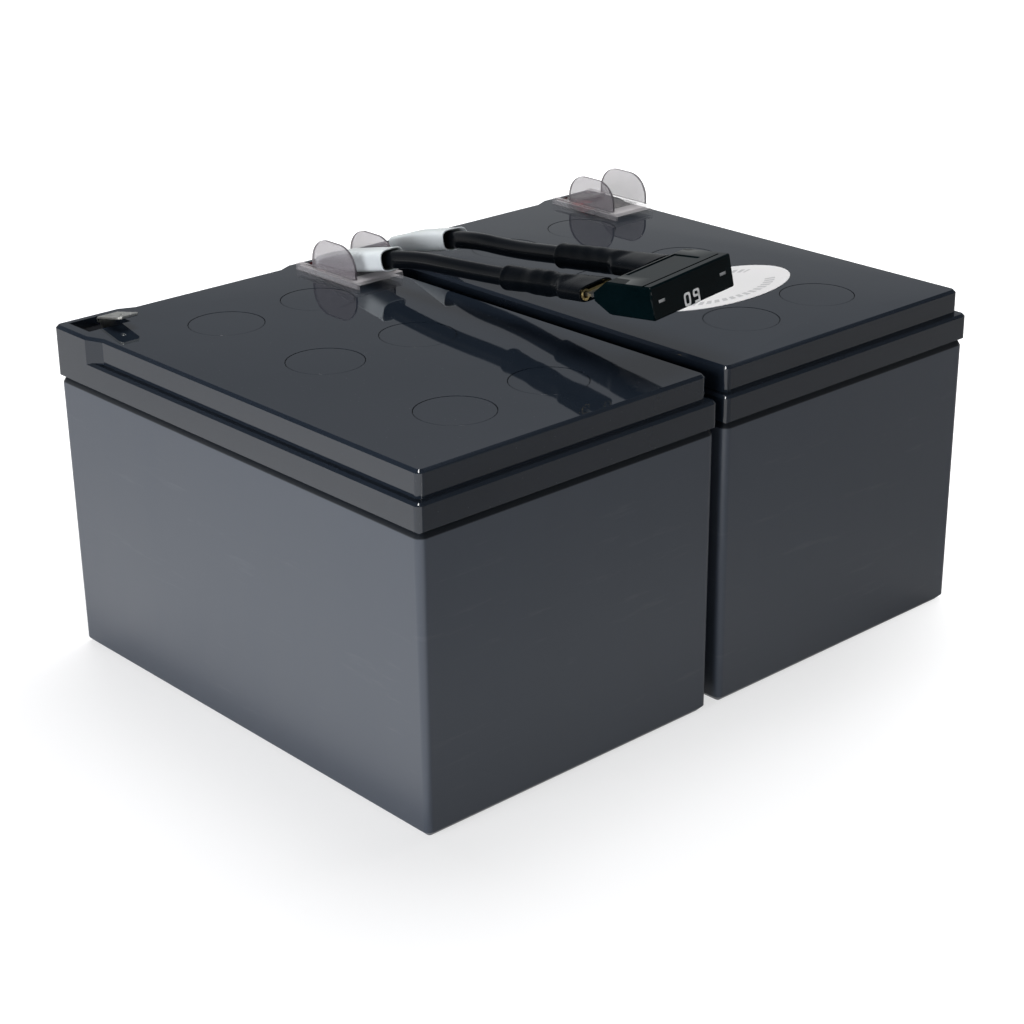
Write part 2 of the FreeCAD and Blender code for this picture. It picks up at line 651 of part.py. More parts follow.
def tab_frame(side_x, yaw, slope_alias):
    """The frame of a fitting on a battery tab: Z runs out along the tab, Y up from it."""
    slope = math.radians(dim(slope_alias))
    turn = math.radians(yaw)
    out = V(math.sin(turn) * math.cos(slope), -math.cos(turn) * math.cos(slope),
            math.sin(slope))
    width = V(math.cos(turn), math.sin(turn), 0)
    reach = dim("fitting_place")
    half = dim("tab_thickness") / 2
    heel = V(side_x, dim("tab_leg_place"), dim("tab_heel"))
    reach_out = (reach - half) / math.cos(slope)
    level = half / math.cos(slope) - half * math.tan(slope)
    origin = heel + out * reach_out - V(0, 0, level)
    return Placement(origin, Rotation(width, out.cross(width), out, "ZXY"))


def fuse_frame():
    """The frame of the fuse: X across it, Y from its end face towards its blades."""
    return Placement(V(dim("fuse_x"), dim("fuse_y"), dim("fuse_z")),
                     Rotation(dim("fuse_yaw"), dim("fuse_pitch"), dim("fuse_roll")))


def blade_frame(side):
    """The frame of a fitting on a fuse blade, just behind the fuse's body."""
    local = Placement(V(side * dim("blade_offset"), dim("fuse_height") + dim("fuse_gap"), 0),
                      Rotation(V(-1, 0, 0), V(0, 0, 1), V(0, 1, 0), "ZXY"))
    return fuse_frame().multiply(local)


def make_receptacle(label, frame, tab_half, roll):
    """Rolled-edge female contact with a crimp barrel; roll is its place, size and bore."""
    place, size, bore = roll
    length, sheet_thickness = dim("contact_length"), dim("contact_sheet")
    slot = dim("tab_thickness") / 2 + 0.02
    shape = block_box(-place, slot, 0, 2 * place, sheet_thickness, length)
    for side in (-1, 1):
        shape = shape.fuse(Part.makeCylinder(size / 2, length, V(side * place, 0, 0)))
        if bore:
            shape = shape.cut(Part.makeCylinder(bore / 2, length, V(side * place, 0, 0)))
    shape = shape.cut(block_box(-tab_half, -slot, 0, 2 * tab_half, 2 * slot, length))
    foot, end = dim("barrel_foot"), dim("barrel_end")
    outer, inner = dim("barrel_diameter") / 2, dim("strand_diameter") / 2
    top = outer - 0.1
    side = [V(0, slot, length - 0.8), V(0, slot + sheet_thickness, length - 0.8),
            V(0, top, foot), V(0, top, foot + 0.4), V(0, slot, foot + 0.4)]
    neck = flat_face(side).extrude(V(dim("neck_width"), 0, 0))
    neck.translate(V(-dim("neck_width") / 2, 0, 0))
    barrel = Part.makeCylinder(outer, end - foot, V(0, 0, foot))
    bore_cut = Part.makeCylinder(inner, end - foot, V(0, 0, foot))
    neck = neck.cut(Part.makeCylinder(inner, 2, V(0, 0, foot)))
    shape = shape.fuse(neck).fuse(barrel.cut(bore_cut)).removeSplitter()
    item = shape_node(label, shape)
    item.Placement = frame
    return item


def make_sleeve(label, frame):
    """Nylon sleeve over a receptacle: a flattened tube that opens towards its mouth."""
    start, end = dim("sleeve_start"), dim("sleeve_end")
    width, height = dim("sleeve_width"), dim("sleeve_height")
    nose, wide, bore = (dim("sleeve_nose_height"), dim("sleeve_bore_width"),
                        dim("sleeve_nose_bore"))
    mouth = dim("sleeve_bore_height")
    outer = loft([(start, width - 0.2, nose, 1.6), (4, width, nose + 0.5, 1.9),
                  (11, width, height, 2.3), (end, width, height, 2.3)])
    inner = loft([(start, wide, bore, 1.0), (7.4, wide, bore, 1.0), (10.8, wide, mouth, 1.9),
                  (end, wide, mouth, 1.9)])
    item = shape_node(label, outer.cut(inner))
    item.Placement = frame
    return item


def make_shrink(label, frame, bulge):
    """Heat-shrink tube: flat over the contact, round over the barrel and the lead."""
    start, end, wall = dim("shrink_start"), dim("shrink_end"), dim("shrink_wall")
    wide = 2 * dim("blade_roll_place") + dim("blade_roll") + 0.2
    flat, bore = dim("blade_roll") + 0.2, dim("shrink_bore")
    ends = [(start, wide, flat, 1.4), (dim("contact_length") + 0.4, wide, flat, 1.4),
            (10.9, bore + 0.9, bore, 2.4), (end, bore + 0.5, bore + 0.5, 2.8)]
    inner = loft(ends)
    extra = [wall, wall, wall + 0.2, wall]
    outer_ends = [(z, w + 2 * t, h + 2 * t, r + t) for (z, w, h, r), t in zip(ends, extra)]
    outer_ends.insert(3, (24, bore + 2 * bulge, bore + 2 * bulge, bore / 2 + bulge - 0.1))
    item = shape_node(label, loft(outer_ends).cut(inner))
    item.Placement = frame
    return item


def route_wire(points):
    """Straight runs joined by tangent arcs, each sized from the shorter of its two runs."""
    edges, start, radii = [], points[0], []
    for before, corner, after in zip(points, points[1:], points[2:]):
        arriving, leaving = (corner - before), (after - corner)
        half_turn = arriving.getAngle(leaving) / 2
        setback = 0.2 * min(arriving.Length, leaving.Length)
        radius = setback / math.tan(half_turn)
        arriving.normalize()
        leaving.normalize()
        entry, leave = corner - arriving * setback, corner + leaving * setback
        inward = (leaving - arriving).normalize()
        middle = corner + inward * radius * (1 / math.cos(half_turn) - 1)
        edges.append(Part.LineSegment(start, entry).toShape())
        edges.append(Part.Arc(entry, middle, leave).toShape())
        start = leave
        radii.append(radius)
    edges.append(Part.LineSegment(start, points[-1]).toShape())
    return Part.Wire(edges), radii


def make_lead(label, points, frames):
    """Insulated lead along its route, with its bare strands in both crimp barrels."""
    path, radii = route_wire(points)
    start_way = points[1] - points[0]
    ring_edge = Part.makeCircle(dim("lead_diameter") / 2, points[0], start_way)
    shape = path.makePipeShell([Part.Wire(ring_edge)], True, True)
    section = math.pi * dim("lead_diameter") ** 2 / 4
    print(label, "length", round(path.Length, 1), "radii", [round(r, 1) for r in radii],
          "volume ratio", round(shape.Volume / (section * path.Length), 4))
    strand = Part.makeCylinder(dim("strand_diameter") / 2,
                               dim("barrel_end") - dim("barrel_foot") + dim("strip_gap") + 1,
                               V(0, 0, dim("barrel_foot")))
    for frame in frames:
        placed = strand.copy()
        placed.Placement = frame
        shape = shape.fuse(placed)
    return shape_node(label, shape.removeSplitter())


def lead_end(frame):
    """Where the insulation stops, just behind a fitting's crimp barrel."""
    return frame.multVec(V(0, 0, dim("barrel_end") + dim("strip_gap")))


def make_fuse():
    """Blade fuse: a moulded housing with a wedge-shaped foot, and its one-piece element."""
    body = start_body("fuse_housing")
    profile = start_sketch(body, "fuse_profile", "0", "YZ_Plane")
    half, nose = "fuse_thickness / 2", "fuse_nose / 2"
    draw_polygon(profile, "profile", [
        ("0", f"0 - {half}"), ("fuse_shoulder", f"0 - {half}"), ("fuse_height", f"0 - {nose}"),
        ("fuse_height", nose), ("fuse_shoulder", half), ("0", half)])
    pad(body, profile, "fuse_width", both=True)
    dress(body, "Chamfer", is_housing_edge, "fuse_bevel")
    cavity = start_sketch(body, "fuse_cavity", "0 - fuse_height", "XZ_Plane")
    reach = "( blade_offset + blade_width / 2 )"
    draw_rectangle(cavity, "cavity", f"0 - {reach}", "0 - blade_thickness / 2", reach,
                   "blade_thickness / 2")
    pocket(body, cavity, "fuse_height - fuse_wall", reverse=True)
    probes = start_sketch(body, "fuse_probes", "0", "XZ_Plane")
    for side in (-1, 1):
        draw_rectangle(probes, f"probe_{side + 1}",
                       f"{side} * probe_offset - probe_width / 2", "0 - probe_height / 2",
                       f"{side} * probe_offset + probe_width / 2", "probe_height / 2")
    pocket(body, probes, "fuse_wall")
    panel = start_sketch(body, "fuse_panel", "fuse_thickness / 2")
    draw_rectangle(panel, "groove", "0 - fuse_width / 2 - 1", "2.4", "fuse_width / 2 - 1.5",
                   "2.4 + panel_groove")
    draw_rectangle(panel, "panel", "panel_left", "panel_front", "panel_right", "panel_back")
    pocket(body, panel, "panel_depth")
    node(body, fuse_frame())
    element = shape_node("fuse_element", make_element())
    element.Placement = fuse_frame()


def is_housing_edge(box):
    """The long corners of the housing and the rim of its end face, but not the wedge."""
    long_corner = box.XLength > 20 and (box.YMin < 0.01)
    side_rim = box.XLength < 0.01 and box.YMin < 0.01
    return long_corner or side_rim


def make_element():
    """Two blades joined by a narrow link that arches between them, and the test points."""
    thickness, wide = dim("blade_thickness"), dim("blade_width")
    front = dim("fuse_wall")
    shape = None
    for side in (-1, 1):
        left = side * dim("blade_offset") - wide / 2
        blade = block_box(left, front, -thickness / 2, wide, dim("blade_end") - front,
                          thickness)
        tips = [edge for edge in blade.Edges
                if edge.BoundBox.YMin > dim("blade_end") - 0.01 and edge.BoundBox.ZLength > 0.1]
        blade = blade.makeChamfer(1.2, tips)
        probe = block_box(side * dim("probe_offset") - dim("probe_width") / 2, 0.25,
                          -dim("probe_height") / 2, dim("probe_width"), front - 0.25,
                          dim("probe_height"))
        blade = blade.fuse(probe)
        shape = blade if shape is None else shape.fuse(blade)
    inner = dim("blade_offset") - wide / 2
    middle = V(0, dim("link_height") + inner, -thickness / 2)
    arch = Part.makeCylinder(inner + dim("link_width_fuse") / 2, thickness, middle)
    arch = arch.cut(Part.makeCylinder(inner - dim("link_width_fuse") / 2, thickness, middle))
    arch = arch.common(block_box(-wide, -wide, -thickness, 2 * wide,
                                 wide + middle.y, 3 * thickness))
    return shape.fuse(arch).removeSplitter()


def make_harness():
    """The fused jumper from the positive tab of block a to the negative tab of block b."""
    pitch = (dim("block_width") + dim("block_gap")) / 2
    starts = {"a": tab_frame(dim("tab_offset") - pitch, dim("lead_yaw"), "tab_slope"),
              "b": tab_frame(pitch - dim("tab_offset"), -dim("lead_yaw"), "tab_slope_b")}
    sides = {"a": -1, "b": 1}
    bulges = {"a": 0.75, "b": 0.6}
    tab_roll = (dim("tab_roll_place"), dim("tab_roll"), 0)
    blade_roll = (dim("blade_roll_place"), dim("blade_roll"), dim("blade_roll_bore"))
    make_fuse()
    for tag, start in starts.items():
        finish = blade_frame(sides[tag])
        route = [lead_end(start), *ROUTES[tag], lead_end(finish)]
        print(f"lead_{tag} route", [tuple(round(v, 2) for v in point) for point in route])
        make_receptacle(f"tab_receptacle_{tag}", start, dim("tab_width") / 2 + 0.1, tab_roll)
        make_sleeve(f"nylon_sleeve_{tag}", start)
        make_receptacle(f"fuse_receptacle_{tag}", finish, dim("blade_width") / 2 + 0.1,
                        blade_roll)
        make_lead(f"lead_{tag}", route, (start, finish))
        make_shrink(f"heat_shrink_{tag}", finish, bulges[tag])


# where each lead turns, between the barrel of its tab receptacle and that of the fuse
ROUTES = {
    "a": [V(-10.7, 32.0, 102.9), V(-10.9, 13.5, 104.4), V(-9.3, -6.7, 105.5)],
    "b": [V(11.1, 32.5, 104.15), V(11.2, 14.0, 104.7), V(10.3, -6.7, 107.6)],
}


# ---------------------------------------------------------------- between and on the blocks
def make_tape():
    """Two strips of double-sided foam tape, squeezed between the drafted cases."""
    taper = math.tan(math.radians(dim("case_taper")))
    length = dim("tape_length")

    shoulder = dim("flange_foot") - dim("shoulder_drop")

    def half_gap(level):
        return dim("block_gap") / 2 + dim("case_inset") + (shoulder - level) * taper

    for label, alias in (("foam_tape_lower", "tape_foot_low"),
                         ("foam_tape_upper", "tape_foot_high")):
        foot, top = dim(alias), dim(alias) + dim("tape_height")
        outline = [V(-half_gap(foot), -length / 2, foot), V(half_gap(foot), -length / 2, foot),
                   V(half_gap(top), -length / 2, top), V(-half_gap(top), -length / 2, top)]
        shape_node(label, flat_face(outline).extrude(V(0, length, 0)))


def make_label():
    """Thin oval sticker on the deck of block b, partly under the fuse."""
    long_half, short_half = dim("label_length") / 2, dim("label_width") / 2
    turns = [math.radians(7.5 * step) for step in range(48)]
    oval = [V(long_half * math.cos(turn), short_half * math.sin(turn), 0) for turn in turns]
    shape = flat_face(oval).extrude(V(0, 0, dim("label_thickness")))
    item = shape_node("oval_label", shape)
    item.Placement = Placement(V(dim("label_x"), dim("label_y"), dim("lid_top")),
                               Rotation(dim("label_turn"), 0, 0))


for number, tag in enumerate("ab"):
    started = len(nodes)
    make_block(tag)
    shift = (number - 0.5) * (dim("block_width") + dim("block_gap"))
    for item in nodes[started:]:
        item.Placement = Placement(V(shift, 0, 0), Rotation()).multiply(item.Placement)
make_tape()
make_harness()
make_label()
doc.recompute()

for item in doc.Objects:
    if "Invalid" in item.State or "Error" in item.State:
        raise RuntimeError(f"{item.Label} did not build: {item.State}")
os.makedirs("parts", exist_ok=True)
for item in nodes:
    shape = item.Shape
    if shape.isNull() or not shape.isValid():
        raise RuntimeError(f"{item.Label} has no valid shape")
    shape.exportStep(f"parts/{item.Label}.step")
print(len(nodes), "sub-parts written")
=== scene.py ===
"""Looks of a UPS battery cartridge: two sealed lead-acid blocks and their fused jumper.

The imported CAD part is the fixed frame.  X runs across the blocks, +Y points to the terminal
end and Z is up.  Named sizes are in millimetres; MM turns them into Blender's metres.
"""
from __future__ import annotations
import json
import logging
import math
from dataclasses import dataclass, field
from enum import Enum
from typing import Any, Callable, Sequence

import bmesh
import bpy
import numpy as np
from bpy.types import Material, Node, NodeSocket, NodeTree, Object
from mathutils import Matrix, Vector

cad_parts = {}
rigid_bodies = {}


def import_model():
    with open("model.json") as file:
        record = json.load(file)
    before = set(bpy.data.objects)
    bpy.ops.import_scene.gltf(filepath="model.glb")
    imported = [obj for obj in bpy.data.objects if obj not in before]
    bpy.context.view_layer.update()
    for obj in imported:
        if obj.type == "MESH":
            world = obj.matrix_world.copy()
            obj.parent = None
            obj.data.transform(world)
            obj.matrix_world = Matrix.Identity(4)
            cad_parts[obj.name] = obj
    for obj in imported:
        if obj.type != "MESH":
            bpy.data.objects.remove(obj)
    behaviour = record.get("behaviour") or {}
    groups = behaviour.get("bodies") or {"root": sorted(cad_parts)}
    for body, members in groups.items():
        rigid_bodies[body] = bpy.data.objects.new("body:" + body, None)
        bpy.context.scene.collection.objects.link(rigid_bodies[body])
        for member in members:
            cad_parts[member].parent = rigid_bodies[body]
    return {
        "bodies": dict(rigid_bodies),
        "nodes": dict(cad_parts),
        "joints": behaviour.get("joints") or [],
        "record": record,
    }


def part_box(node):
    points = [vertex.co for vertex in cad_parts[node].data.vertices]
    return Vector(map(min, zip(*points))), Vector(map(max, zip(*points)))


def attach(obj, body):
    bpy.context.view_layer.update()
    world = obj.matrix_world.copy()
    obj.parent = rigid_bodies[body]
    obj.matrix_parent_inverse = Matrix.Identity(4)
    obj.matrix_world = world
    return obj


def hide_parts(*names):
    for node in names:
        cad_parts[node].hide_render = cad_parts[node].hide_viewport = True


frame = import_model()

LOG = logging.getLogger("cartridge")
MM = 0.001
BODY = "root"
BLOCKS = ("a", "b")


class Side(Enum):
    """The block that a piece of the jumper belongs to, as its sign along X."""

    A = -1
    B = 1

    @property
    def tag(self) -> str:
        """The block's letter in the names of the CAD nodes."""
        return self.name.lower()


# ------------------------------------------------------------------ node and colour helpers
# the kinds of node that come often; a colour MIX has its factor at 0, its colours at 6 and 7
NOISE, MATH, MIX, RANGE = (f"ShaderNode{kind}" for kind in ("TexNoise", "Math", "Mix", "MapRange"))
BUMP, MAPPING, SEPARATE = (f"ShaderNode{kind}" for kind in ("Bump", "Mapping", "SeparateXYZ"))
# a noise pattern's values lie between these two
NOISE_SPAN = {"From Min": 0.3, "From Max": 0.7}


def linear(hex_colour: str, alpha: float = 1.0) -> tuple[float, float, float, float]:
    """Turn an sRGB hex colour into the linear colour that Blender's sockets take.

    Args:
        hex_colour: Six hex digits, with or without a leading #.
        alpha: The fourth number of the result.

    Returns:
        Linear red, green and blue, and the alpha.
    """
    text = hex_colour.lstrip("#")
    parts = np.array([int(text[i:i + 2], 16) for i in (0, 2, 4)]) / 255
    low, high = parts / 12.92, ((parts + 0.055) / 1.055) ** 2.4
    red, green, blue = np.where(parts <= 0.04045, low, high)
    return float(red), float(green), float(blue), alpha


def per_metre(size: float) -> float:
    """The Scale of a pattern whose features are this many millimetres."""
    return 1 / (size * MM)


def join(node: Node, links: dict[Any, Any]) -> None:
    """Feed a node's inputs.

    Args:
        node: The node.
        links: Input name or number to a socket, to a node whose first live output is meant,
            or to a plain value.
    """
    for name, value in links.items():
        if isinstance(value, Node):
            value = next(socket for socket in value.outputs if socket.enabled)
        if isinstance(value, NodeSocket):
            node.id_data.links.new(value, node.inputs[name])
        else:
            node.inputs[name].default_value = value


def add(tree: NodeTree, kind: str, links: dict[Any, Any] | None = None,
        stops: Sequence[tuple[float, tuple[float, ...]]] = (),
        **settings: Any) -> Node:
    """Add one node with its settings and links.

    Args:
        tree: The tree that gets the node.
        kind: The node's type name.
        links: What feeds its inputs, as join takes it.
        stops: Place and colour of each stop of a colour ramp, in order.
        **settings: Attributes of the node itself.

    Returns:
        The new node.
    """
    node = tree.nodes.new(kind)
    for name, value in settings.items():
        setattr(node, name, value)
    if stops:
        elements = node.color_ramp.elements
        while len(elements) < len(stops):
            elements.new(0.5)
        for element, (place, colour) in zip(elements, stops):
            element.position, element.color = place, colour
    join(node, links or {})
    return node


def start_material(name: str) -> tuple[Material, NodeTree,
                                       Node, NodeSocket]:
    """Make an empty material.

    Args:
        name: The material's name.

    Returns:
        The material, its tree, its main shader, and the Object coordinate socket.
    """
    material = bpy.data.materials.new(name)
    material.use_nodes = True
    tree = material.node_tree
    tree.nodes.clear()
    shader = add(tree, "ShaderNodeBsdfPrincipled")
    add(tree, "ShaderNodeOutputMaterial", {"Surface": shader})
    place = add(tree, "ShaderNodeTexCoord").outputs["Object"]
    return material, tree, shader, place


# ------------------------------------------------------------------ finishes
@dataclass(frozen=True)
class PolishedAbs:
    """ABS moulded against a polished tool: a deep, faintly wavy gloss with fine dust on it.

    Sizes and depths are in millimetres, as in every finish.
    """

    name: str = "abs_polished_dark_grey"
    colour: str = "#1b222b"
    worn: str = "#2b3038"
    dusty: str = "#4a4e54"
    roughness: float = 0.02
    haze_roughness: float = 0.025
    dust_roughness: float = 0.15
    ior: float = 1.46
    sink_size: float = 42.0
    sink_depth: float = 0.05
    ripple_size: float = 7.0
    ripple_depth: float = 0.003
    haze_size: float = 26.0
    haze_share: float = 0.16
    dust_spacing: float = 2.1
    dust_radius: float = 0.045

    def build(self) -> Material:
        """Make the material.

        Returns:
            The finished material.
        """
        material, tree, shader, place = start_material(self.name)
        # sink marks over the ribs bend the reflections over 30 to 60 mm
        sink = add(tree, NOISE, {"Vector": place, "Scale": per_metre(self.sink_size), "Detail": 1})
        ripple = add(tree, NOISE, {"Vector": place, "Scale": per_metre(self.ripple_size),
                                   "Detail": 2})
        # dust and polish haze lift the tone in patches of a few centimetres
        haze = add(tree, NOISE, {"Vector": place, "Scale": per_metre(self.haze_size), "Detail": 5,
                                 "Roughness": 0.6})
        cells = add(tree, "ShaderNodeTexVoronoi", {"Vector": place,
                                                   "Scale": per_metre(self.dust_spacing)})
        dust = add(tree, MATH, {0: cells, 1: self.dust_radius}, operation="LESS_THAN")
        wear = add(tree, RANGE, {"Value": haze, **NOISE_SPAN, "To Min": 0.0,
                                 "To Max": self.haze_share})
        tone = add(tree, MIX, {0: wear, 6: linear(self.colour), 7: linear(self.worn)},
                   data_type="RGBA")
        tone = add(tree, MIX, {0: dust, 6: tone, 7: linear(self.dusty)}, data_type="RGBA")
        clean = add(tree, RANGE, {"Value": haze, **NOISE_SPAN, "To Min": self.roughness,
                                  "To Max": self.roughness + self.haze_roughness})
        gloss = add(tree, MATH, {0: dust, 1: self.dust_roughness, 2: clean},
                    operation="MULTIPLY_ADD")
        wavy = add(tree, BUMP, {"Height": sink, "Distance": self.sink_depth * MM})
        relief = add(tree, BUMP, {"Height": ripple, "Normal": wavy,
                                  "Distance": self.ripple_depth * MM})
        join(shader, {"Base Color": tone, "Roughness": gloss, "IOR": self.ior, "Normal": relief})
        return material


@dataclass(frozen=True)
class SatinAbs:
    """ABS moulded against a spark-eroded tool: a fine even grain that scatters the gloss."""

    name: str = "abs_satin_dark_grey"
    colour: str = "#3f454e"
    flowed: str = "#4e545d"
    scuffed: str = "#5f636a"
    # colour of the painted shade under the lid's flange
    painted_flange_shade: str = "#14181d"
    roughness: tuple[float, float] = (0.30, 0.38)
    ior: float = 1.46
    flow_size: float = 14.0
    flow_stretch: float = 5.0
    flow_depth: float = 0.02
    flow_share: float = 0.14
    grain_size: float = 0.35
    grain_depth: float = 0.004
    scuff_size: float = 3.2
    scuff_stretch: float = 9.0
    scuff_share: float = 0.22
    # where the painted shade under the flange lies: its top, its height, its soft lower edge and
    # how far it dulls the gloss from its plain level
    flange_foot: float = 79.4
    flange_shade_height: float = 1.5
    flange_shade_edge: float = 0.3
    plain_gloss: float = 0.5
    flange_shade_dulling: float = 0.38

    def build(self) -> Material:
        """Make the material.

        Returns:
            The finished material.
        """
        material, tree, shader, place = start_material(self.name)
        # flow lines run up the case from the gate in its floor
        upward = add(tree, MAPPING, {"Vector": place, "Scale": (1, 1, 1 / self.flow_stretch)})
        flow = add(tree, NOISE, {"Vector": upward, "Scale": per_metre(self.flow_size), "Detail": 4,
                                 "Roughness": 0.6})
        # the tool's grain is 0.12 mm, drawn at 0.35 mm so that it shows
        grain = add(tree, NOISE, {"Vector": place, "Scale": per_metre(self.grain_size),
                                  "Detail": 1})
        # handling leaves short level scuffs
        level = add(tree, MAPPING, {"Vector": place, "Scale": (1 / self.scuff_stretch,
                                                               1 / self.scuff_stretch, 1)})
        scuff = add(tree, NOISE, {"Vector": level, "Scale": per_metre(self.scuff_size),
                                  "Detail": 5, "Roughness": 0.7})
        marks = add(tree, "ShaderNodeValToRGB", {"Fac": scuff},
                    stops=((0.60, (0, 0, 0, 1)), (0.72, (1, 1, 1, 1))))
        faint = add(tree, MATH, {0: marks, 1: self.scuff_share}, operation="MULTIPLY")
        streaks = add(tree, RANGE, {"Value": flow, **NOISE_SPAN, "To Min": 0.0,
                                    "To Max": self.flow_share})
        tone = add(tree, MIX, {0: streaks, 6: linear(self.colour), 7: linear(self.flowed)},
                   data_type="RGBA")
        tone = add(tree, MIX, {0: faint, 6: tone, 7: linear(self.scuffed)}, data_type="RGBA")
        # painted shade: a dark band with a duller gloss just under the flange, drawn in for the
        # shade that the flange casts on the case
        height = add(tree, SEPARATE, {"Vector": place}).outputs["Z"]
        flange_shade_foot = self.flange_foot - self.flange_shade_height
        flange_shade_mask = add(tree, RANGE, {"Value": height, "From Min": flange_shade_foot * MM,
                                 "From Max": (flange_shade_foot + self.flange_shade_edge) * MM})
        tone = add(tree, MIX, {0: flange_shade_mask, 6: tone, 7: linear(self.painted_flange_shade)}, data_type="RGBA")
        gloss = add(tree, MATH, {0: flange_shade_mask, 1: -self.flange_shade_dulling, 2: self.plain_gloss},
                    operation="MULTIPLY_ADD")
        low, high = self.roughness
        scatter = add(tree, RANGE, {"Value": flow, **NOISE_SPAN, "To Min": low, "To Max": high})
        wavy = add(tree, BUMP, {"Height": flow, "Distance": self.flow_depth * MM})
        relief = add(tree, BUMP, {"Height": grain, "Normal": wavy,
                                  "Distance": self.grain_depth * MM})
        join(shader, {"Base Color": tone, "Roughness": scatter, "IOR": self.ior,
                      "Specular IOR Level": gloss, "Normal": relief})
        return material


@dataclass(frozen=True)
class Moulded:
    """A plain moulded, cast or extruded plastic: one tone with fine mottling and relief."""

    name: str
    colour: str
    second: str
    roughness: float
    grain: float
    relief: float
    ior: float = 1.5
    stretch: tuple[float, float, float] = (1, 1, 1)
    gloss: float = 0.5

    def build(self) -> Material:
        """Make the material.

        Returns:
            The finished material.
        """
        material, tree, shader, place = start_material(self.name)
        drawn = add(tree, MAPPING, {"Vector": place,
                                    "Scale": tuple(1 / part for part in self.stretch)})
        mottle = add(tree, NOISE, {"Vector": drawn, "Scale": per_metre(self.grain), "Detail": 4,
                                   "Roughness": 0.6})
        fine = add(tree, NOISE, {"Vector": drawn, "Scale": per_metre(self.grain / 6), "Detail": 2})
        share = add(tree, RANGE, {"Value": mottle, **NOISE_SPAN})
        tone = add(tree, MIX, {0: share, 6: linear(self.colour), 7: linear(self.second)},
                   data_type="RGBA")
        scatter = add(tree, RANGE, {"Value": mottle, **NOISE_SPAN, "To Min": self.roughness * 0.94,
                                    "To Max": self.roughness * 1.08})
        uneven = add(tree, BUMP, {"Height": mottle, "Distance": self.relief * MM})
        relief = add(tree, BUMP, {"Height": fine, "Normal": uneven,
                                  "Distance": self.relief / 4 * MM})
        join(shader, {"Base Color": tone, "Roughness": scatter, "IOR": self.ior,
                      "Specular IOR Level": self.gloss, "Normal": relief})
        return material


@dataclass(frozen=True)
class ClearPlastic:
    """Thin clear polycarbonate, faintly milky: denser at a low angle and along its cut rims, which
    also take a darker grey as a painted dark outline.

    facing and edge_on are its opacity seen square and seen along the sheet; ear_gain and
    rim_gain are added on the standing ears and on their rims.
    """

    name: str = "polycarbonate_clear_moulded"
    colour: str = "#e8e3e4"
    ear: str = "#989195"
    rim: str = "#6b656a"
    roughness: float = 0.07
    ior: float = 1.5
    facing: float = 0.13
    edge_on: float = 0.62
    ear_gain: float = 0.31
    rim_gain: float = 0.45
    rim_turn: float = 0.6
    plate_top: float = 96.2
    wave_size: float = 5.0
    wave_depth: float = 0.04

    def build(self) -> Material:
        """Make the material.

        Returns:
            The finished material.
        """
        material, tree, shader, place = start_material(self.name)
        # the ears stand square to X: what faces another way above the plate is their rim
        geometry = add(tree, "ShaderNodeNewGeometry")
        turned = add(tree, SEPARATE, {"Vector": geometry.outputs["True Normal"]})
        square = add(tree, MATH, {0: turned.outputs["X"]}, operation="ABSOLUTE")
        cut = add(tree, MATH, {0: square, 1: self.rim_turn}, operation="LESS_THAN")
        height = add(tree, SEPARATE, {"Vector": place}).outputs["Z"]
        above = add(tree, MATH, {0: height, 1: self.plate_top * MM}, operation="GREATER_THAN")
        rims = add(tree, MATH, {0: cut, 1: above}, operation="MULTIPLY")
        tone = add(tree, MIX, {0: above, 6: linear(self.colour), 7: linear(self.ear)},
                   data_type="RGBA")
        # painted shade: the rims take a darker grey, the dark outline that a clear edge shows
        # drawn into its colour
        tone = add(tree, MIX, {0: rims, 6: tone, 7: linear(self.rim)}, data_type="RGBA")
        weight = add(tree, "ShaderNodeLayerWeight", {"Blend": 0.35})
        dense = add(tree, RANGE, {"Value": weight.outputs["Facing"], "From Min": 0.25,
                                  "From Max": 0.8, "To Min": self.facing, "To Max": self.edge_on})
        ears = add(tree, MATH, {0: above, 1: self.ear_gain, 2: dense}, operation="MULTIPLY_ADD")
        solid = add(tree, MATH, {0: rims, 1: self.rim_gain, 2: ears}, operation="MULTIPLY_ADD",
                    use_clamp=True)
        # the thin moulding cooled slightly uneven
        wave = add(tree, NOISE, {"Vector": place, "Scale": per_metre(self.wave_size), "Detail": 1})
        relief = add(tree, BUMP, {"Height": wave, "Distance": self.wave_depth * MM})
        join(shader, {"Base Color": tone, "Roughness": self.roughness, "IOR": self.ior,
                      "Alpha": solid, "Normal": relief})
        return material


@dataclass(frozen=True)
class Metal:
    """Rolled, pressed or cast metal with fine lines and a little tarnish."""

    name: str
    colour: str
    tarnish: str
    roughness: float
    lines: tuple[float, float, float] = (6, 1, 1)
    line_size: float = 0.25
    line_depth: float = 0.004
    patch_size: float = 3.0
    patch_share: float = 0.5
    patch_roughening: float = 1.6

    def build(self) -> Material:
        """Make the material.

        Returns:
            The finished material.
        """
        material, tree, shader, place = start_material(self.name)
        drawn = add(tree, MAPPING, {"Vector": place,
                                    "Scale": tuple(1 / part for part in self.lines)})
        rolled = add(tree, NOISE, {"Vector": drawn, "Scale": per_metre(self.line_size),
                                   "Detail": 2})
        patches = add(tree, NOISE, {"Vector": place, "Scale": per_metre(self.patch_size),
                                    "Detail": 5, "Roughness": 0.65})
        share = add(tree, RANGE, {"Value": patches, **NOISE_SPAN, "To Min": 0,
                                  "To Max": self.patch_share})
        tone = add(tree, MIX, {0: share, 6: linear(self.colour), 7: linear(self.tarnish)},
                   data_type="RGBA")
        scatter = add(tree, RANGE, {"Value": patches, **NOISE_SPAN, "To Min": self.roughness,
                                    "To Max": self.roughness * self.patch_roughening})
        relief = add(tree, BUMP, {"Height": rolled, "Distance": self.line_depth * MM})
        join(shader, {"Base Color": tone, "Metallic": 1.0, "Roughness": scatter, "Normal": relief})
        return material


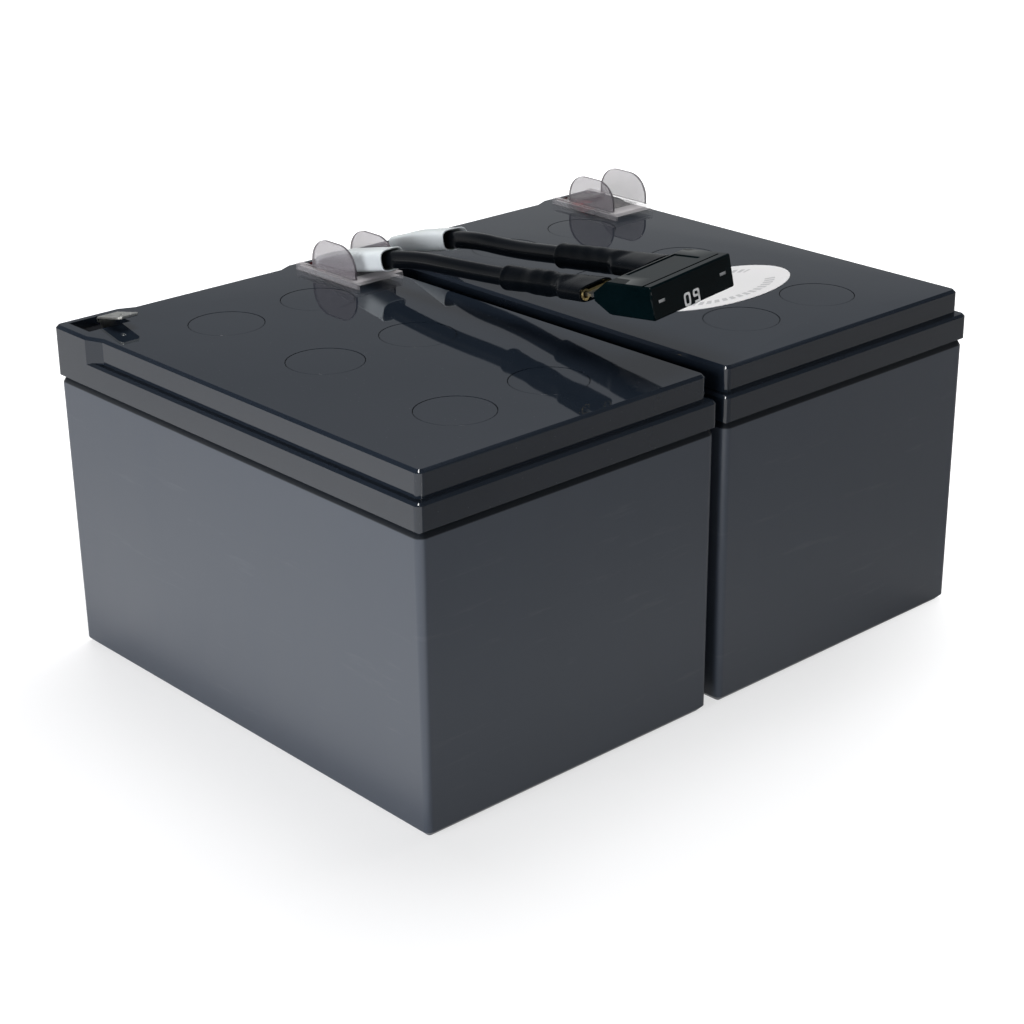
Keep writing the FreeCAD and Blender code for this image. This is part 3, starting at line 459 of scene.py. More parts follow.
@dataclass(frozen=True)
class OvalPaper:
    """Coated white paper with rows of short grey dashes in the place of print, no words.

    The rows follow the oval at band of its radius, give or take band_half; dashes is their
    number round the oval, and row_end the sine of the angle at which a row stops.
    """

    name: str = "coated_paper_sticker"
    colour: str = "#f1f0f0"
    ink: str = "#6d6f74"
    half_length: float = 27.5
    half_width: float = 13.6
    band: float = 0.73
    band_half: float = 0.07
    dashes: int = 46
    dash_share: float = -0.35
    row_end: float = 0.42
    ink_share: float = 0.42
    roughness: float = 0.34
    fibre_size: float = 0.6
    fibre_depth: float = 0.006

    def build(self, centre: Vector) -> Material:
        """Make the material for a sticker.

        Args:
            centre: The sticker's middle, in metres.

        Returns:
            The finished material.
        """
        material, tree, shader, place = start_material(self.name)
        # centred, and scaled so that the sticker's edge is at radius 1
        scale = (per_metre(self.half_length), per_metre(self.half_width), 0.0)
        shift = tuple(-part * size for part, size in zip(centre, scale))
        moved = add(tree, MAPPING, {"Vector": place, "Location": shift, "Scale": scale})
        parts = add(tree, SEPARATE, {"Vector": moved})
        radius = add(tree, "ShaderNodeVectorMath", {0: moved}, operation="LENGTH")
        angle = add(tree, MATH, {0: parts.outputs["Y"], 1: parts.outputs["X"]},
                    operation="ARCTAN2")
        band = add(tree, MATH, {0: radius, 1: self.band, 2: self.band_half}, operation="COMPARE")
        turns = add(tree, MATH, {0: angle, 1: float(self.dashes)}, operation="MULTIPLY")
        broken = add(tree, MATH, {0: add(tree, MATH, {0: turns}, operation="SINE"),
                                  1: self.dash_share}, operation="GREATER_THAN")
        rise = add(tree, MATH, {0: angle}, operation="SINE")
        rows = add(tree, MATH, {0: add(tree, MATH, {0: rise}, operation="ABSOLUTE"),
                                1: self.row_end}, operation="GREATER_THAN")
        dashed = add(tree, MATH, {0: band, 1: broken}, operation="MULTIPLY")
        printed = add(tree, MATH, {0: dashed, 1: rows}, operation="MULTIPLY")
        faint = add(tree, MATH, {0: printed, 1: self.ink_share}, operation="MULTIPLY")
        tone = add(tree, MIX, {0: faint, 6: linear(self.colour), 7: linear(self.ink)},
                   data_type="RGBA")
        fibres = add(tree, NOISE, {"Vector": place, "Scale": per_metre(self.fibre_size),
                                   "Detail": 3})
        relief = add(tree, BUMP, {"Height": fibres, "Distance": self.fibre_depth * MM})
        join(shader, {"Base Color": tone, "Roughness": self.roughness, "Normal": relief})
        return material


# ------------------------------------------------------------------ mesh helpers
# a CAD node's loose triangles are joined within this many millimetres, and its flat faces are
# made whole again below this many degrees
WELD = 0.004
FLAT = 0.6


def mesh_object(name: str, points: np.ndarray, faces: np.ndarray,
                material: Material, smooth: bool = True) -> Object:
    """Make a mesh object whose place is in its points.

    Args:
        name: The object's name.
        points: Corners in millimetres, one row each.
        faces: Corner numbers, one row for each face.
        material: The finish.
        smooth: Whether its faces shade smoothly.

    Returns:
        The new object, linked to the scene.
    """
    mesh = bpy.data.meshes.new(name)
    mesh.from_pydata((points * MM).tolist(), [], faces.tolist())
    mesh.polygons.foreach_set("use_smooth", np.full(len(mesh.polygons), smooth))
    mesh.materials.append(material)
    mesh.update()
    item = bpy.data.objects.new(name, mesh)
    bpy.context.scene.collection.objects.link(item)
    return item


def tube_faces(rings: int, around: int) -> np.ndarray:
    """Quads that join closed rings of points, each ring to the next and the last to the first.

    Args:
        rings: Number of rings.
        around: Points on each ring.

    Returns:
        Corner numbers, wound so that faces point outwards on rings that turn left about the
        direction of travel.
    """
    ring = np.arange(rings)[:, None]
    step = np.arange(around)[None, :]
    following, turned = (ring + 1) % rings, (step + 1) % around
    quads = np.stack([ring * around + step, ring * around + turned,
                      following * around + turned, following * around + step], axis=-1)
    return quads.reshape(-1, 4)


def super_ring(width: np.ndarray, height: np.ndarray, power: np.ndarray,
               around: int) -> tuple[np.ndarray, np.ndarray]:
    """Points of superellipses: |x / a| ** n + |y / b| ** n = 1, even in the angle.

    Args:
        width: Full width of each ring.
        height: Full height of each ring.
        power: The exponent n of each ring: 2 is an ellipse, and more is squarer.
        around: Points on each ring.

    Returns:
        The x and y of every point, one row for each ring.
    """
    angle = np.linspace(0, 2 * np.pi, around, endpoint=False)[None, :]
    cosine, sine = np.cos(angle), np.sin(angle)
    scale = (np.abs(cosine) ** power[:, None] + np.abs(sine) ** power[:, None])
    radius = scale ** (-1 / power[:, None])
    return width[:, None] / 2 * cosine * radius, height[:, None] / 2 * sine * radius


@dataclass(frozen=True)
class Placed:
    """A place and three directions: across the width, up, and along a fitting."""

    origin: np.ndarray
    width: np.ndarray
    up: np.ndarray
    along: np.ndarray

    def put(self, points: np.ndarray) -> np.ndarray:
        """Move points from this frame into the cartridge's frame."""
        return self.origin + points @ np.stack([self.width, self.up, self.along])


def dress_copy(node: str, name: str, material: Material, bevel: float,
               slot: str, segments: int = 2,
               keep: Callable[[Vector], bool] | None = None,
               sharp_from: float = 40.0) -> Object:
    """Stand a copy of a CAD node in for it, with its sharp edges rounded.

    Args:
        node: The CAD node.
        name: The new piece's name.
        material: Its finish.
        bevel: Radius of the rounded edges, in millimetres.
        slot: The record's material slot.
        segments: Steps of each rounded edge.
        keep: Tells from an edge's middle, in millimetres, whether it stays sharp.
        sharp_from: Angle in degrees from which an edge counts as sharp.

    Returns:
        The new piece.
    """
    mesh = bpy.data.objects[node].data.copy()
    mesh.name = name
    shell = bmesh.new()
    shell.from_mesh(mesh)
    bmesh.ops.remove_doubles(shell, verts=shell.verts, dist=WELD * MM)
    bmesh.ops.dissolve_limit(shell, angle_limit=math.radians(FLAT), verts=shell.verts,
                             edges=shell.edges)
    bmesh.ops.recalc_face_normals(shell, faces=shell.faces)
    weight = shell.edges.layers.float.new("bevel_weight_edge")
    for edge in shell.edges:
        if len(edge.link_faces) != 2 or edge.calc_face_angle() < math.radians(sharp_from):
            continue
        middle = (edge.verts[0].co + edge.verts[1].co) / 2 / MM
        if keep is not None and keep(middle):
            edge.smooth = False
        else:
            edge[weight] = 1.0
    shell.to_mesh(mesh)
    shell.free()
    mesh.materials.clear()
    mesh.materials.append(material)
    mesh.polygons.foreach_set("use_smooth", np.full(len(mesh.polygons), True))
    item = bpy.data.objects.new(name, mesh)
    bpy.context.scene.collection.objects.link(item)
    rounding = item.modifiers.new("rounded_edges", "BEVEL")
    rounding.width = bevel * MM
    rounding.segments = segments
    rounding.limit_method = "WEIGHT"
    rounding.use_clamp_overlap = True
    shading = item.modifiers.new("flat_faces_stay_flat", "WEIGHTED_NORMAL")
    shading.keep_sharp = True
    finish_piece(item, slot, node)
    return item


def finish_piece(item: Object, slot: str, *replaced: str) -> None:
    """Let a piece ride on the cartridge, and hide the nodes it stands for.

    Args:
        item: The piece.
        slot: The record's material slot; not used.
        *replaced: The CAD nodes that it stands for.
    """
    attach(item, BODY)
    if replaced:
        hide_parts(*replaced)
    LOG.info("piece %s stands for %s", item.name, ", ".join(replaced) or "itself")


def dress_node(node: str, material: Material) -> None:
    """Give a CAD node its finish.

    Args:
        node: The CAD node.
        material: The finish.
    """
    slots = bpy.data.objects[node].material_slots
    for number in range(len(slots)):
        slots[number].material = material
    LOG.info("node %s takes %s", node, material.name)


# ------------------------------------------------------------------ the two blocks
@dataclass
class Block:
    """One sealed 12 V block: case, lid, vent caps, tabs, seals and what is inside.

    Each edge is the radius of a piece's rounded edges.  The other sizes, from the block's
    middle, bound the edges inside it, which stay sharp.
    """

    tag: str
    pitch: float = 100.8
    case_edge: float = 0.5
    lid_edge: float = 0.45
    cap_edge: float = 0.06
    tab_edge: float = 0.12
    guard_edge: float = 0.2
    case_inside: tuple[float, float, float] = (46.5, 73.0, 2.0)
    lid_inside: tuple[float, float] = (46.3, 73.3)
    vents_within: tuple[float, float] = (30.0, 60.0)
    pocket_top: float = 93.0

    def build(self, finishes: "Finishes") -> None:
        """Dress every node of the block.

        Args:
            finishes: The cartridge's materials.
        """
        tag = self.tag
        plain = {
            f"positive_plates_{tag}": finishes.oxide,
            f"negative_plates_{tag}": finishes.sponge, f"separators_{tag}": finishes.mat,
            f"cell_straps_{tag}": finishes.lead_metal,
            f"terminal_posts_{tag}": finishes.lead_metal,
            f"negative_seal_{tag}": finishes.dark_resin,
            f"positive_seal_{tag}": finishes.red_resin,
        }
        for node, material in plain.items():
            dress_node(node, material)
        dress_copy(f"container_{tag}", f"moulded_case_{tag}", finishes.satin, self.case_edge,
                   "container", segments=3, keep=self.is_inside_case)
        # the lid's shallow bevels count as edges too
        dress_copy(f"lid_{tag}", f"moulded_lid_{tag}", finishes.polished, self.lid_edge, "lid",
                   segments=3, keep=self.is_inside_lid, sharp_from=17)
        dress_copy(f"vent_caps_{tag}", f"welded_caps_{tag}", finishes.polished, self.cap_edge,
                   "vent_cap")
        for polarity in ("negative", "positive"):
            dress_copy(f"{polarity}_tab_{tag}", f"{polarity}_tab_strip_{tag}",
                       finishes.tinned, self.tab_edge, "tab")
        dress_copy(f"terminal_cover_{tag}", f"clear_guard_{tag}", finishes.clear,
                   self.guard_edge, "cover")

    def offset(self, middle: Vector) -> tuple[float, float]:
        """How far a point lies from the block's middle along X and Y, without its sign.

        Args:
            middle: The point, in millimetres.

        Returns:
            The distance across the block and the distance along it.
        """
        centre = -self.pitch / 2 if self.tag == "a" else self.pitch / 2
        return abs(middle.x - centre), abs(middle.y)

    def is_inside_case(self, middle: Vector) -> bool:
        """Whether an edge of the case belongs to its cells.

        Args:
            middle: The edge's middle, in millimetres.

        Returns:
            True where the edge is inside.
        """
        across, along = self.offset(middle)
        half_width, half_length, floor = self.case_inside
        return across < half_width and along < half_length and middle.z > floor

    def is_inside_lid(self, middle: Vector) -> bool:
        """Whether an edge of the lid is a vent's rim, a pocket's or a cell's.

        Args:
            middle: The edge's middle, in millimetres.

        Returns:
            True where the edge is one of these.
        """
        across, along = self.offset(middle)
        (half_width, half_length), (near, far) = self.lid_inside, self.vents_within
        low = middle.z < self.pocket_top
        return across < half_width and along < half_length and (
            across < near or along < far or low)


@dataclass
class Finishes:
    """Every material of the cartridge, made once."""

    polished: Material = field(default_factory=PolishedAbs().build)
    satin: Material = field(default_factory=SatinAbs().build)
    tinned: Material = field(default_factory=Metal(
        "tinned_brass_strip", "#dcdcd8", "#a8a69c", 0.26).build)
    brass: Material = field(default_factory=Metal(
        "pressed_brass_bright", "#d9c48c", "#b59a58", 0.18).build)
    zinc: Material = field(default_factory=Metal(
        "tinned_zinc_strip", "#c9cacb", "#8d8f92", 0.28).build)
    lead_metal: Material = field(default_factory=Metal(
        "cast_lead", "#8a8c90", "#5f6166", 0.48, lines=(1, 1, 1)).build)
    oxide: Material = field(default_factory=Moulded(
        "lead_dioxide_paste", "#3a2722", "#4a342c", 0.8, 1.2, 0.05).build)
    sponge: Material = field(default_factory=Moulded(
        "lead_paste_grey", "#6d7074", "#7e8186", 0.7, 1.2, 0.05).build)
    mat: Material = field(default_factory=Moulded(
        "glass_mat_white", "#e9e8e2", "#f3f2ee", 0.9, 0.8, 0.08).build)
    red_resin: Material = field(default_factory=Moulded(
        "epoxy_cast_red", "#c8251f", "#b01a16", 0.22, 6, 0.05).build)
    dark_resin: Material = field(default_factory=Moulded(
        "epoxy_cast_black", "#1b1c1f", "#26272a", 0.2, 6, 0.05).build)
    clear: Material = field(default_factory=ClearPlastic().build)
    # unfilled nylon is milky white with a soft gloss
    nylon: Material = field(default_factory=Moulded(
        "nylon_milky_white", "#e4eaea", "#dde3e4", 0.26, 14, 0.002, ior=1.53).build)
    # extruded PVC: a soft sheen with faint lines along the lead
    pvc: Material = field(default_factory=Moulded(
        "pvc_extruded_black", "#05080b", "#090c10", 0.22, 7, 0.008, stretch=(1, 5, 1),
        gloss=0.34).build)
    # polyolefin that has shrunk: duller than the lead, and faintly uneven
    shrink: Material = field(default_factory=Moulded(
        "polyolefin_shrunk_black", "#05080b", "#090c10", 0.26, 6.0, 0.006, gloss=0.12).build)
    # tinted nylon, so dark that little of the teal shows
    fuse: Material = field(default_factory=Moulded(
        "nylon_tinted_teal", "#010b0d", "#041215", 0.05, 9, 0.004, ior=1.53,
        gloss=0.1).build)
    print_white: Material = field(default_factory=Moulded(
        "pad_print_white", "#fbfbf8", "#f4f4f0", 0.5, 1, 0.005).build)
    foam: Material = field(default_factory=Moulded(
        "closed_cell_foam_black", "#1b1c1d", "#2a2b2c", 0.85, 0.5, 0.08).build)


# ------------------------------------------------------------------ the fused jumper
@dataclass(frozen=True)
class Rating:
    """The fuse's rating, 60, as two outlined figures pad-printed on its end face.

    The figures stand half_pitch to each side of their middle, which is at place on the end
    face.  The six's ring runs past its middle by overlap, its bar ends at bar_end, and the
    stroke across its top is tip long.  knots is the number of points round a ring.
    """

    width: float = 2.3
    height: float = 3.5
    half_pitch: float = 1.6
    place: tuple[float, float] = (-0.9, -2.35)
    stroke: float = 0.6
    overlap: float = 0.12
    bar_end: float = 0.6
    tip: float = 1.9
    lift: float = 0.03
    knots: int = 48

    def build(self, fuse: Placed, material: Material) -> None:
        """Make both figures as one piece.

        Each ring lies between two superellipses, |x / a| ** 4 + |y / b| ** 4 = 1; the six's
        stroke is a bar beside its ring and another across its top.

        Args:
            fuse: The fuse's frame.
            material: The print's finish.
        """
        angle = np.linspace(0, 2 * np.pi, self.knots, endpoint=False)
        cosine, sine = np.cos(angle), np.sin(angle)
        radius = (np.abs(cosine) ** 4 + np.abs(sine) ** 4) ** -0.25
        half, step = self.half_pitch, np.arange(self.knots)
        after = (step + 1) % self.knots
        points, faces = [], []
        rings = ((-half, 0.0, self.height),
                 (half, self.height / 4 - self.overlap, self.height / 2 + 2 * self.overlap))
        for across, rise, tall in rings:
            base = sum(len(group) for group in points)
            for inset in (0.0, self.stroke):
                points.append(np.column_stack([
                    across + (self.width / 2 - inset) * cosine * radius,
                    rise + (tall / 2 - inset) * sine * radius,
                    np.full(self.knots, -self.lift)]))
            faces.append(np.stack([base + step, base + after, base + self.knots + after,
                                   base + self.knots + step], axis=-1))
        right, foot = half + self.width / 2, -self.height / 2
        inner = right - self.stroke
        for left, low, end, high in ((inner, foot, right, self.bar_end),
                                     (right - self.tip, foot, inner, foot + self.stroke)):
            base = sum(len(group) for group in points)
            points.append(np.array([(left, low), (end, low), (end, high), (left, high)]))
            points[-1] = np.column_stack([points[-1], np.full(4, -self.lift)])
            faces.append(base + np.arange(4)[None, :])
        flat = np.vstack(points) + np.array([*self.place, 0.0])
        item = mesh_object("fuse_rating_60", fuse.put(flat), np.vstack(faces), material,
                           smooth=False)
        finish_piece(item, "label")


@dataclass
class Jumper:
    """The two leads with their sleeves and shrink tubes, and the blade fuse between them.

    The tab's and the fuse's sizes are the CAD part's.  around is the number of points on a
    ring, and rim_corner the share of a lip's roundness that each corner of a rim is drawn in.
    """

    finishes: Finishes
    pitch: float = 50.4
    tab_offset: float = 36.4
    tab_leg: float = 68.3
    tab_heel: float = 95.55
    tab_half: float = 0.4
    tab_yaw: float = 4.5
    tab_slope: dict[Side, float] = field(default_factory=lambda: {Side.A: 12.0, Side.B: 14.0})
    fitting_place: float = 2.9
    crimp_end: float = 17.9
    fuse_place: tuple[float, float, float] = (-0.6, -65.2, 114.0)
    fuse_turn: tuple[float, float, float] = (-0.3, -6.0, -7.3)
    blade_offset: float = 9.85
    blade_start: float = 24.7
    fuse_edge: float = 0.25
    lead_diameter: float = 5.0
    around: int = 72
    rim_corner: float = 0.3
    shrink_crimp: float = 18.0
    shrink_mouth: float = 33.6

    def tab_frame(self, side: Side) -> Placed:
        """Frame of the fitting on a block's tab, running out along the tab.

        Args:
            side: The block.

        Returns:
            The frame, with its start at the fitting's foot.
        """
        slope = math.radians(self.tab_slope[side])
        turn = math.radians(-side.value * self.tab_yaw)
        out = np.array([math.sin(turn) * math.cos(slope), -math.cos(turn) * math.cos(slope),
                        math.sin(slope)])
        width = np.array([math.cos(turn), math.sin(turn), 0.0])
        heel = np.array([side.value * (self.pitch - self.tab_offset), self.tab_leg,
                         self.tab_heel])
        reach = (self.fitting_place - self.tab_half) / math.cos(slope)
        drop = self.tab_half / math.cos(slope) - self.tab_half * math.tan(slope)
        origin = heel + out * reach - np.array([0, 0, drop])
        return Placed(origin, width, np.cross(out, width), out)

    def fuse_frame(self) -> Placed:
        """Frame of the fuse: width, thickness, and from its end face towards its blades.

        Returns:
            The frame, with its start in the middle of the end face.
        """
        yaw, pitch, roll = (math.radians(part) for part in self.fuse_turn)
        turn = (Matrix.Rotation(yaw, 3, "Z") @ Matrix.Rotation(pitch, 3, "Y")
                @ Matrix.Rotation(roll, 3, "X"))
        axes = np.array(turn)
        return Placed(np.array(self.fuse_place), axes[:, 0], axes[:, 2], axes[:, 1])

    def blade_frame(self, side: Side) -> Placed:
        """Frame of the fitting on one of the fuse's blades, running out along the blade.

        Args:
            side: The block whose lead ends on the blade.

        Returns:
            The frame, with its start at the fitting's foot.
        """
        fuse = self.fuse_frame()
        local = np.array([side.value * self.blade_offset, 0, self.blade_start])
        return Placed(fuse.put(local), -fuse.width, fuse.up, fuse.along)

    def route(self, side: Side) -> np.ndarray:
        """Turning points of a lead, from its crimp on the tab to its crimp on the fuse.

        Args:
            side: The block that the lead starts on.

        Returns:
            The points in millimetres, one row each.
        """
        turns = {
            Side.A: [(-10.7, 32.0, 102.9), (-10.9, 13.5, 104.4), (-9.3, -6.7, 105.5)],
            Side.B: [(11.1, 32.5, 104.15), (11.2, 14.0, 104.7), (10.3, -6.7, 107.6)],
        }[side]
        crimp = np.array([0, 0, self.crimp_end])
        first, last = self.tab_frame(side).put(crimp), self.blade_frame(side).put(crimp)
        return np.array([first, *turns, last])

    def build_lead(self, side: Side) -> None:
        """A held lead: one smooth NURBS line through its route, swept round.

        Args:
            side: The block that the lead starts on.
        """
        points = self.route(side)
        line = bpy.data.curves.new(f"jumper_lead_{side.tag}", "CURVE")
        line.dimensions = "3D"
        spline = line.splines.new("NURBS")
        spline.points.add(len(points) - 1)
        for point, place in zip(spline.points, points * MM):
            point.co = (*place, 1.0)
        spline.order_u = 3
        spline.use_endpoint_u = True
        spline.resolution_u = 24
        line.bevel_depth = self.lead_diameter / 2 * MM
        line.bevel_resolution = 10
        line.use_fill_caps = True
        line.materials.append(self.finishes.pvc)
        item = bpy.data.objects.new(line.name, line)
        bpy.context.scene.collection.objects.link(item)
        finish_piece(item, "insulation", f"lead_{side.tag}")

    def shell(self, name: str, frame: Placed, stations: np.ndarray,
              material: Material,
              relief: Callable[[np.ndarray, np.ndarray], np.ndarray] | None = None
              ) -> Object:
        """A tube of superellipse rings that runs out, turns over its rim and comes back.

        Args:
            name: The piece's name.
            frame: Where the tube starts and which way it runs.
            stations: Rows of place along, width, height and exponent.
            material: The finish.
            relief: Extra growth of the radius in millimetres, from ring place and angle.

        Returns:
            The new piece.
        """
        place, width, height, power = stations.T
        x, y = super_ring(width, height, power, self.around)
        if relief is not None:
            angle = np.linspace(0, 2 * np.pi, self.around, endpoint=False)[None, :]
            grow = relief(place[:, None], angle)
            distance = np.hypot(x, y)
            x, y = x * (1 + grow / distance), y * (1 + grow / distance)
        z = np.broadcast_to(place[:, None], x.shape)
        points = frame.put(np.stack([x, y, z], axis=-1).reshape(-1, 3))
        return mesh_object(name, points, tube_faces(len(stations), self.around), material)

    @staticmethod
    def blend_stations(knots: list[tuple[float, float, float, float]],
                       count: int) -> np.ndarray:
        """Stations between knots, eased so that widths change without a crease.

        Between two knots each size follows 3 t^2 - 2 t^3, t being the share of the way.

        Args:
            knots: Place, width, height and exponent of each knot.
            count: Number of stations, evenly spaced.

        Returns:
            The stations, one row each.
        """
        knots_array = np.array(knots)
        place = np.linspace(knots_array[0, 0], knots_array[-1, 0], count)
        index = np.clip(np.searchsorted(knots_array[:, 0], place, side="right") - 1, 0,
                        len(knots) - 2)
        start, end = knots_array[index], knots_array[index + 1]
        share = (place - start[:, 0]) / (end[:, 0] - start[:, 0])
        eased = (share * share * (3 - 2 * share))[:, None]
        return np.column_stack([place, (start + (end - start) * eased)[:, 1:]])

    def tube(self, outer: list[tuple[float, float, float, float]], wall: float,
             count: int, lip: float) -> np.ndarray:
        """Stations of a walled tube: out along its outside, round both rims, back inside.

        Args:
            outer: Knots of the outside: place, width, height and exponent.
            wall: Wall thickness.
            count: Stations along each face.
            lip: How far each rim is rounded.

        Returns:
            The stations in order round the section.
        """
        outside = self.blend_stations(outer, count)
        inside = outside[::-1].copy()
        inside[:, 1:3] -= 2 * wall
        ends = []
        for edge in (outside[-1], outside[0]):
            corner_out, rim, corner_in = edge.copy(), edge.copy(), edge.copy()
            corner_out[1:3] -= 2 * lip * self.rim_corner
            rim[1:3] -= wall
            corner_in[1:3] -= 2 * (wall - lip * self.rim_corner)
            ends.append([corner_out, rim, corner_in])
        outside[-1, 0] -= lip
        inside[0, 0] -= lip
        outside[0, 0] += lip
        inside[-1, 0] += lip
        return np.vstack([outside, ends[0], inside, ends[1][::-1]])

    def build_sleeve(self, side: Side) -> None:
        """Milky nylon sleeve: a flat nose over the contact, then a wide mouth for the lead.

        Args:
            side: The block that the sleeve stands on.
        """
        knots = [(-0.7, 8.3, 4.1, 5.0), (3.2, 8.7, 4.6, 5.0), (10.5, 8.8, 6.1, 3.6),
                 (20.0, 8.9, 6.2, 3.4), (26.2, 8.8, 6.1, 3.4), (27.5, 9.0, 6.3, 3.6)]
        stations = self.tube(knots, wall=0.42, count=40, lip=0.18)
        item = self.shell(f"nylon_housing_{side.tag}", self.tab_frame(side), stations,
                          self.finishes.nylon)
        finish_piece(item, "sleeve", f"nylon_sleeve_{side.tag}")

    def build_shrink(self, side: Side) -> None:
        """Shrink tube: pulled flat over the contact, drawn in at the crimp, loose at its end.

        Args:
            side: The block whose lead the tube covers.
        """
        if side is Side.A:
            phase = 0.8
            knots = [(0.3, 11.8, 4.4, 3.4), (8.6, 11.2, 4.5, 3.2), (12.4, 7.0, 5.8, 2.2),
                     (14.5, 6.3, 6.1, 2.1), (18.0, 6.8, 7.0, 2.0), (22.0, 7.0, 7.0, 2.0),
                     (26.5, 6.5, 6.4, 2.0), (31.5, 6.8, 6.7, 2.0), (34.3, 6.9, 6.8, 2.0)]
        else:
            phase = 2.3
            knots = [(-2.4, 11.8, 4.4, 3.4), (8.8, 11.2, 4.6, 3.2), (13.0, 7.6, 6.4, 2.2),
                     (19.0, 6.9, 6.9, 2.0), (27.0, 6.8, 6.8, 2.0), (34.3, 6.8, 6.7, 2.0)]
        stations = self.tube(knots, wall=0.55, count=90, lip=0.15)

        def pucker(place: np.ndarray, angle: np.ndarray) -> np.ndarray:
            """Height of the tube's unevenness: rings, folds and a flared mouth.

            The rings are a sine along the tube that wanders round it, under a bell curve over
            the crimp.  The folds are three sine waves round the tube that turn slowly along
            it, and the mouth is a narrow bell curve with two lobes.

            Args:
                place: Place along the tube of each ring, in millimetres.
                angle: Angle round the tube of each point.

            Returns:
                The height in millimetres, one row for each ring.
            """
            rings = 0.035 * np.sin(1.15 * place + 1.6 * np.sin(angle + phase))
            over_crimp = np.exp(-((place - self.shrink_crimp) / 12) ** 2)
            folds = 0.036 * np.sin(3 * angle + 0.25 * place + phase)
            at_mouth = np.exp(-((place - self.shrink_mouth) / 0.7) ** 2)
            mouth = 0.16 * at_mouth * (1 + np.sin(2 * angle + phase))
            return rings * over_crimp + folds + mouth

        item = self.shell(f"shrink_tube_{side.tag}", self.blade_frame(side), stations,
                          self.finishes.shrink, pucker)
        finish_piece(item, "shrink", f"heat_shrink_{side.tag}")

    def build_fuse(self) -> None:
        """The fuse's housing with softened edges, its element, and its printed rating."""
        dress_copy("fuse_housing", "blade_fuse_housing", self.finishes.fuse, self.fuse_edge,
                   "fuse_housing")
        dress_node("fuse_element", self.finishes.zinc)
        for side in Side:
            dress_node(f"fuse_receptacle_{side.tag}", self.finishes.brass)
            dress_node(f"tab_receptacle_{side.tag}", self.finishes.brass)
        Rating().build(self.fuse_frame(), self.finishes.print_white)

    def build(self) -> None:
        """Make every piece of the jumper, the leads first."""
        for side in Side:
            self.build_lead(side)
        for side in Side:
            self.build_sleeve(side)
            self.build_shrink(side)
        self.build_fuse()


# ------------------------------------------------------------------ studio
class LampUse(Enum):
    """Which kind of surface a lamp works on."""

    FILL = "fill"
    GLINT = "glint"


@dataclass(frozen=True)
class Softbox:
    """A square softbox that faces the middle of the cartridge.

    Its place and side are in metres and its power in watts.  A fill lights matt surfaces, and a
    glint shows in glossy ones.
    """

    name: str
    place: tuple[float, float, float]
    size: float
    power: float
    use: LampUse = LampUse.FILL
    colour: str = "#ffffff"
    aim: tuple[float, float, float] = (0.0, 0.0, 0.05)

    def build(self) -> None:
        """Make the lamp."""
        lamp = bpy.data.lights.new(self.name, "AREA")
        lamp.shape = "SQUARE"
        lamp.size = self.size
        lamp.energy = self.power
        lamp.color = linear(self.colour)[:3]
        item = bpy.data.objects.new(self.name, lamp)
        facing = (Vector(self.aim) - Vector(self.place)).to_track_quat("-Z", "Y")
        item.matrix_world = Matrix.Translation(self.place) @ facing.to_matrix().to_4x4()
        item.visible_camera = False
        item.visible_diffuse = self.use is LampUse.FILL
        item.visible_glossy = self.use is LampUse.GLINT
        bpy.context.scene.collection.objects.link(item)


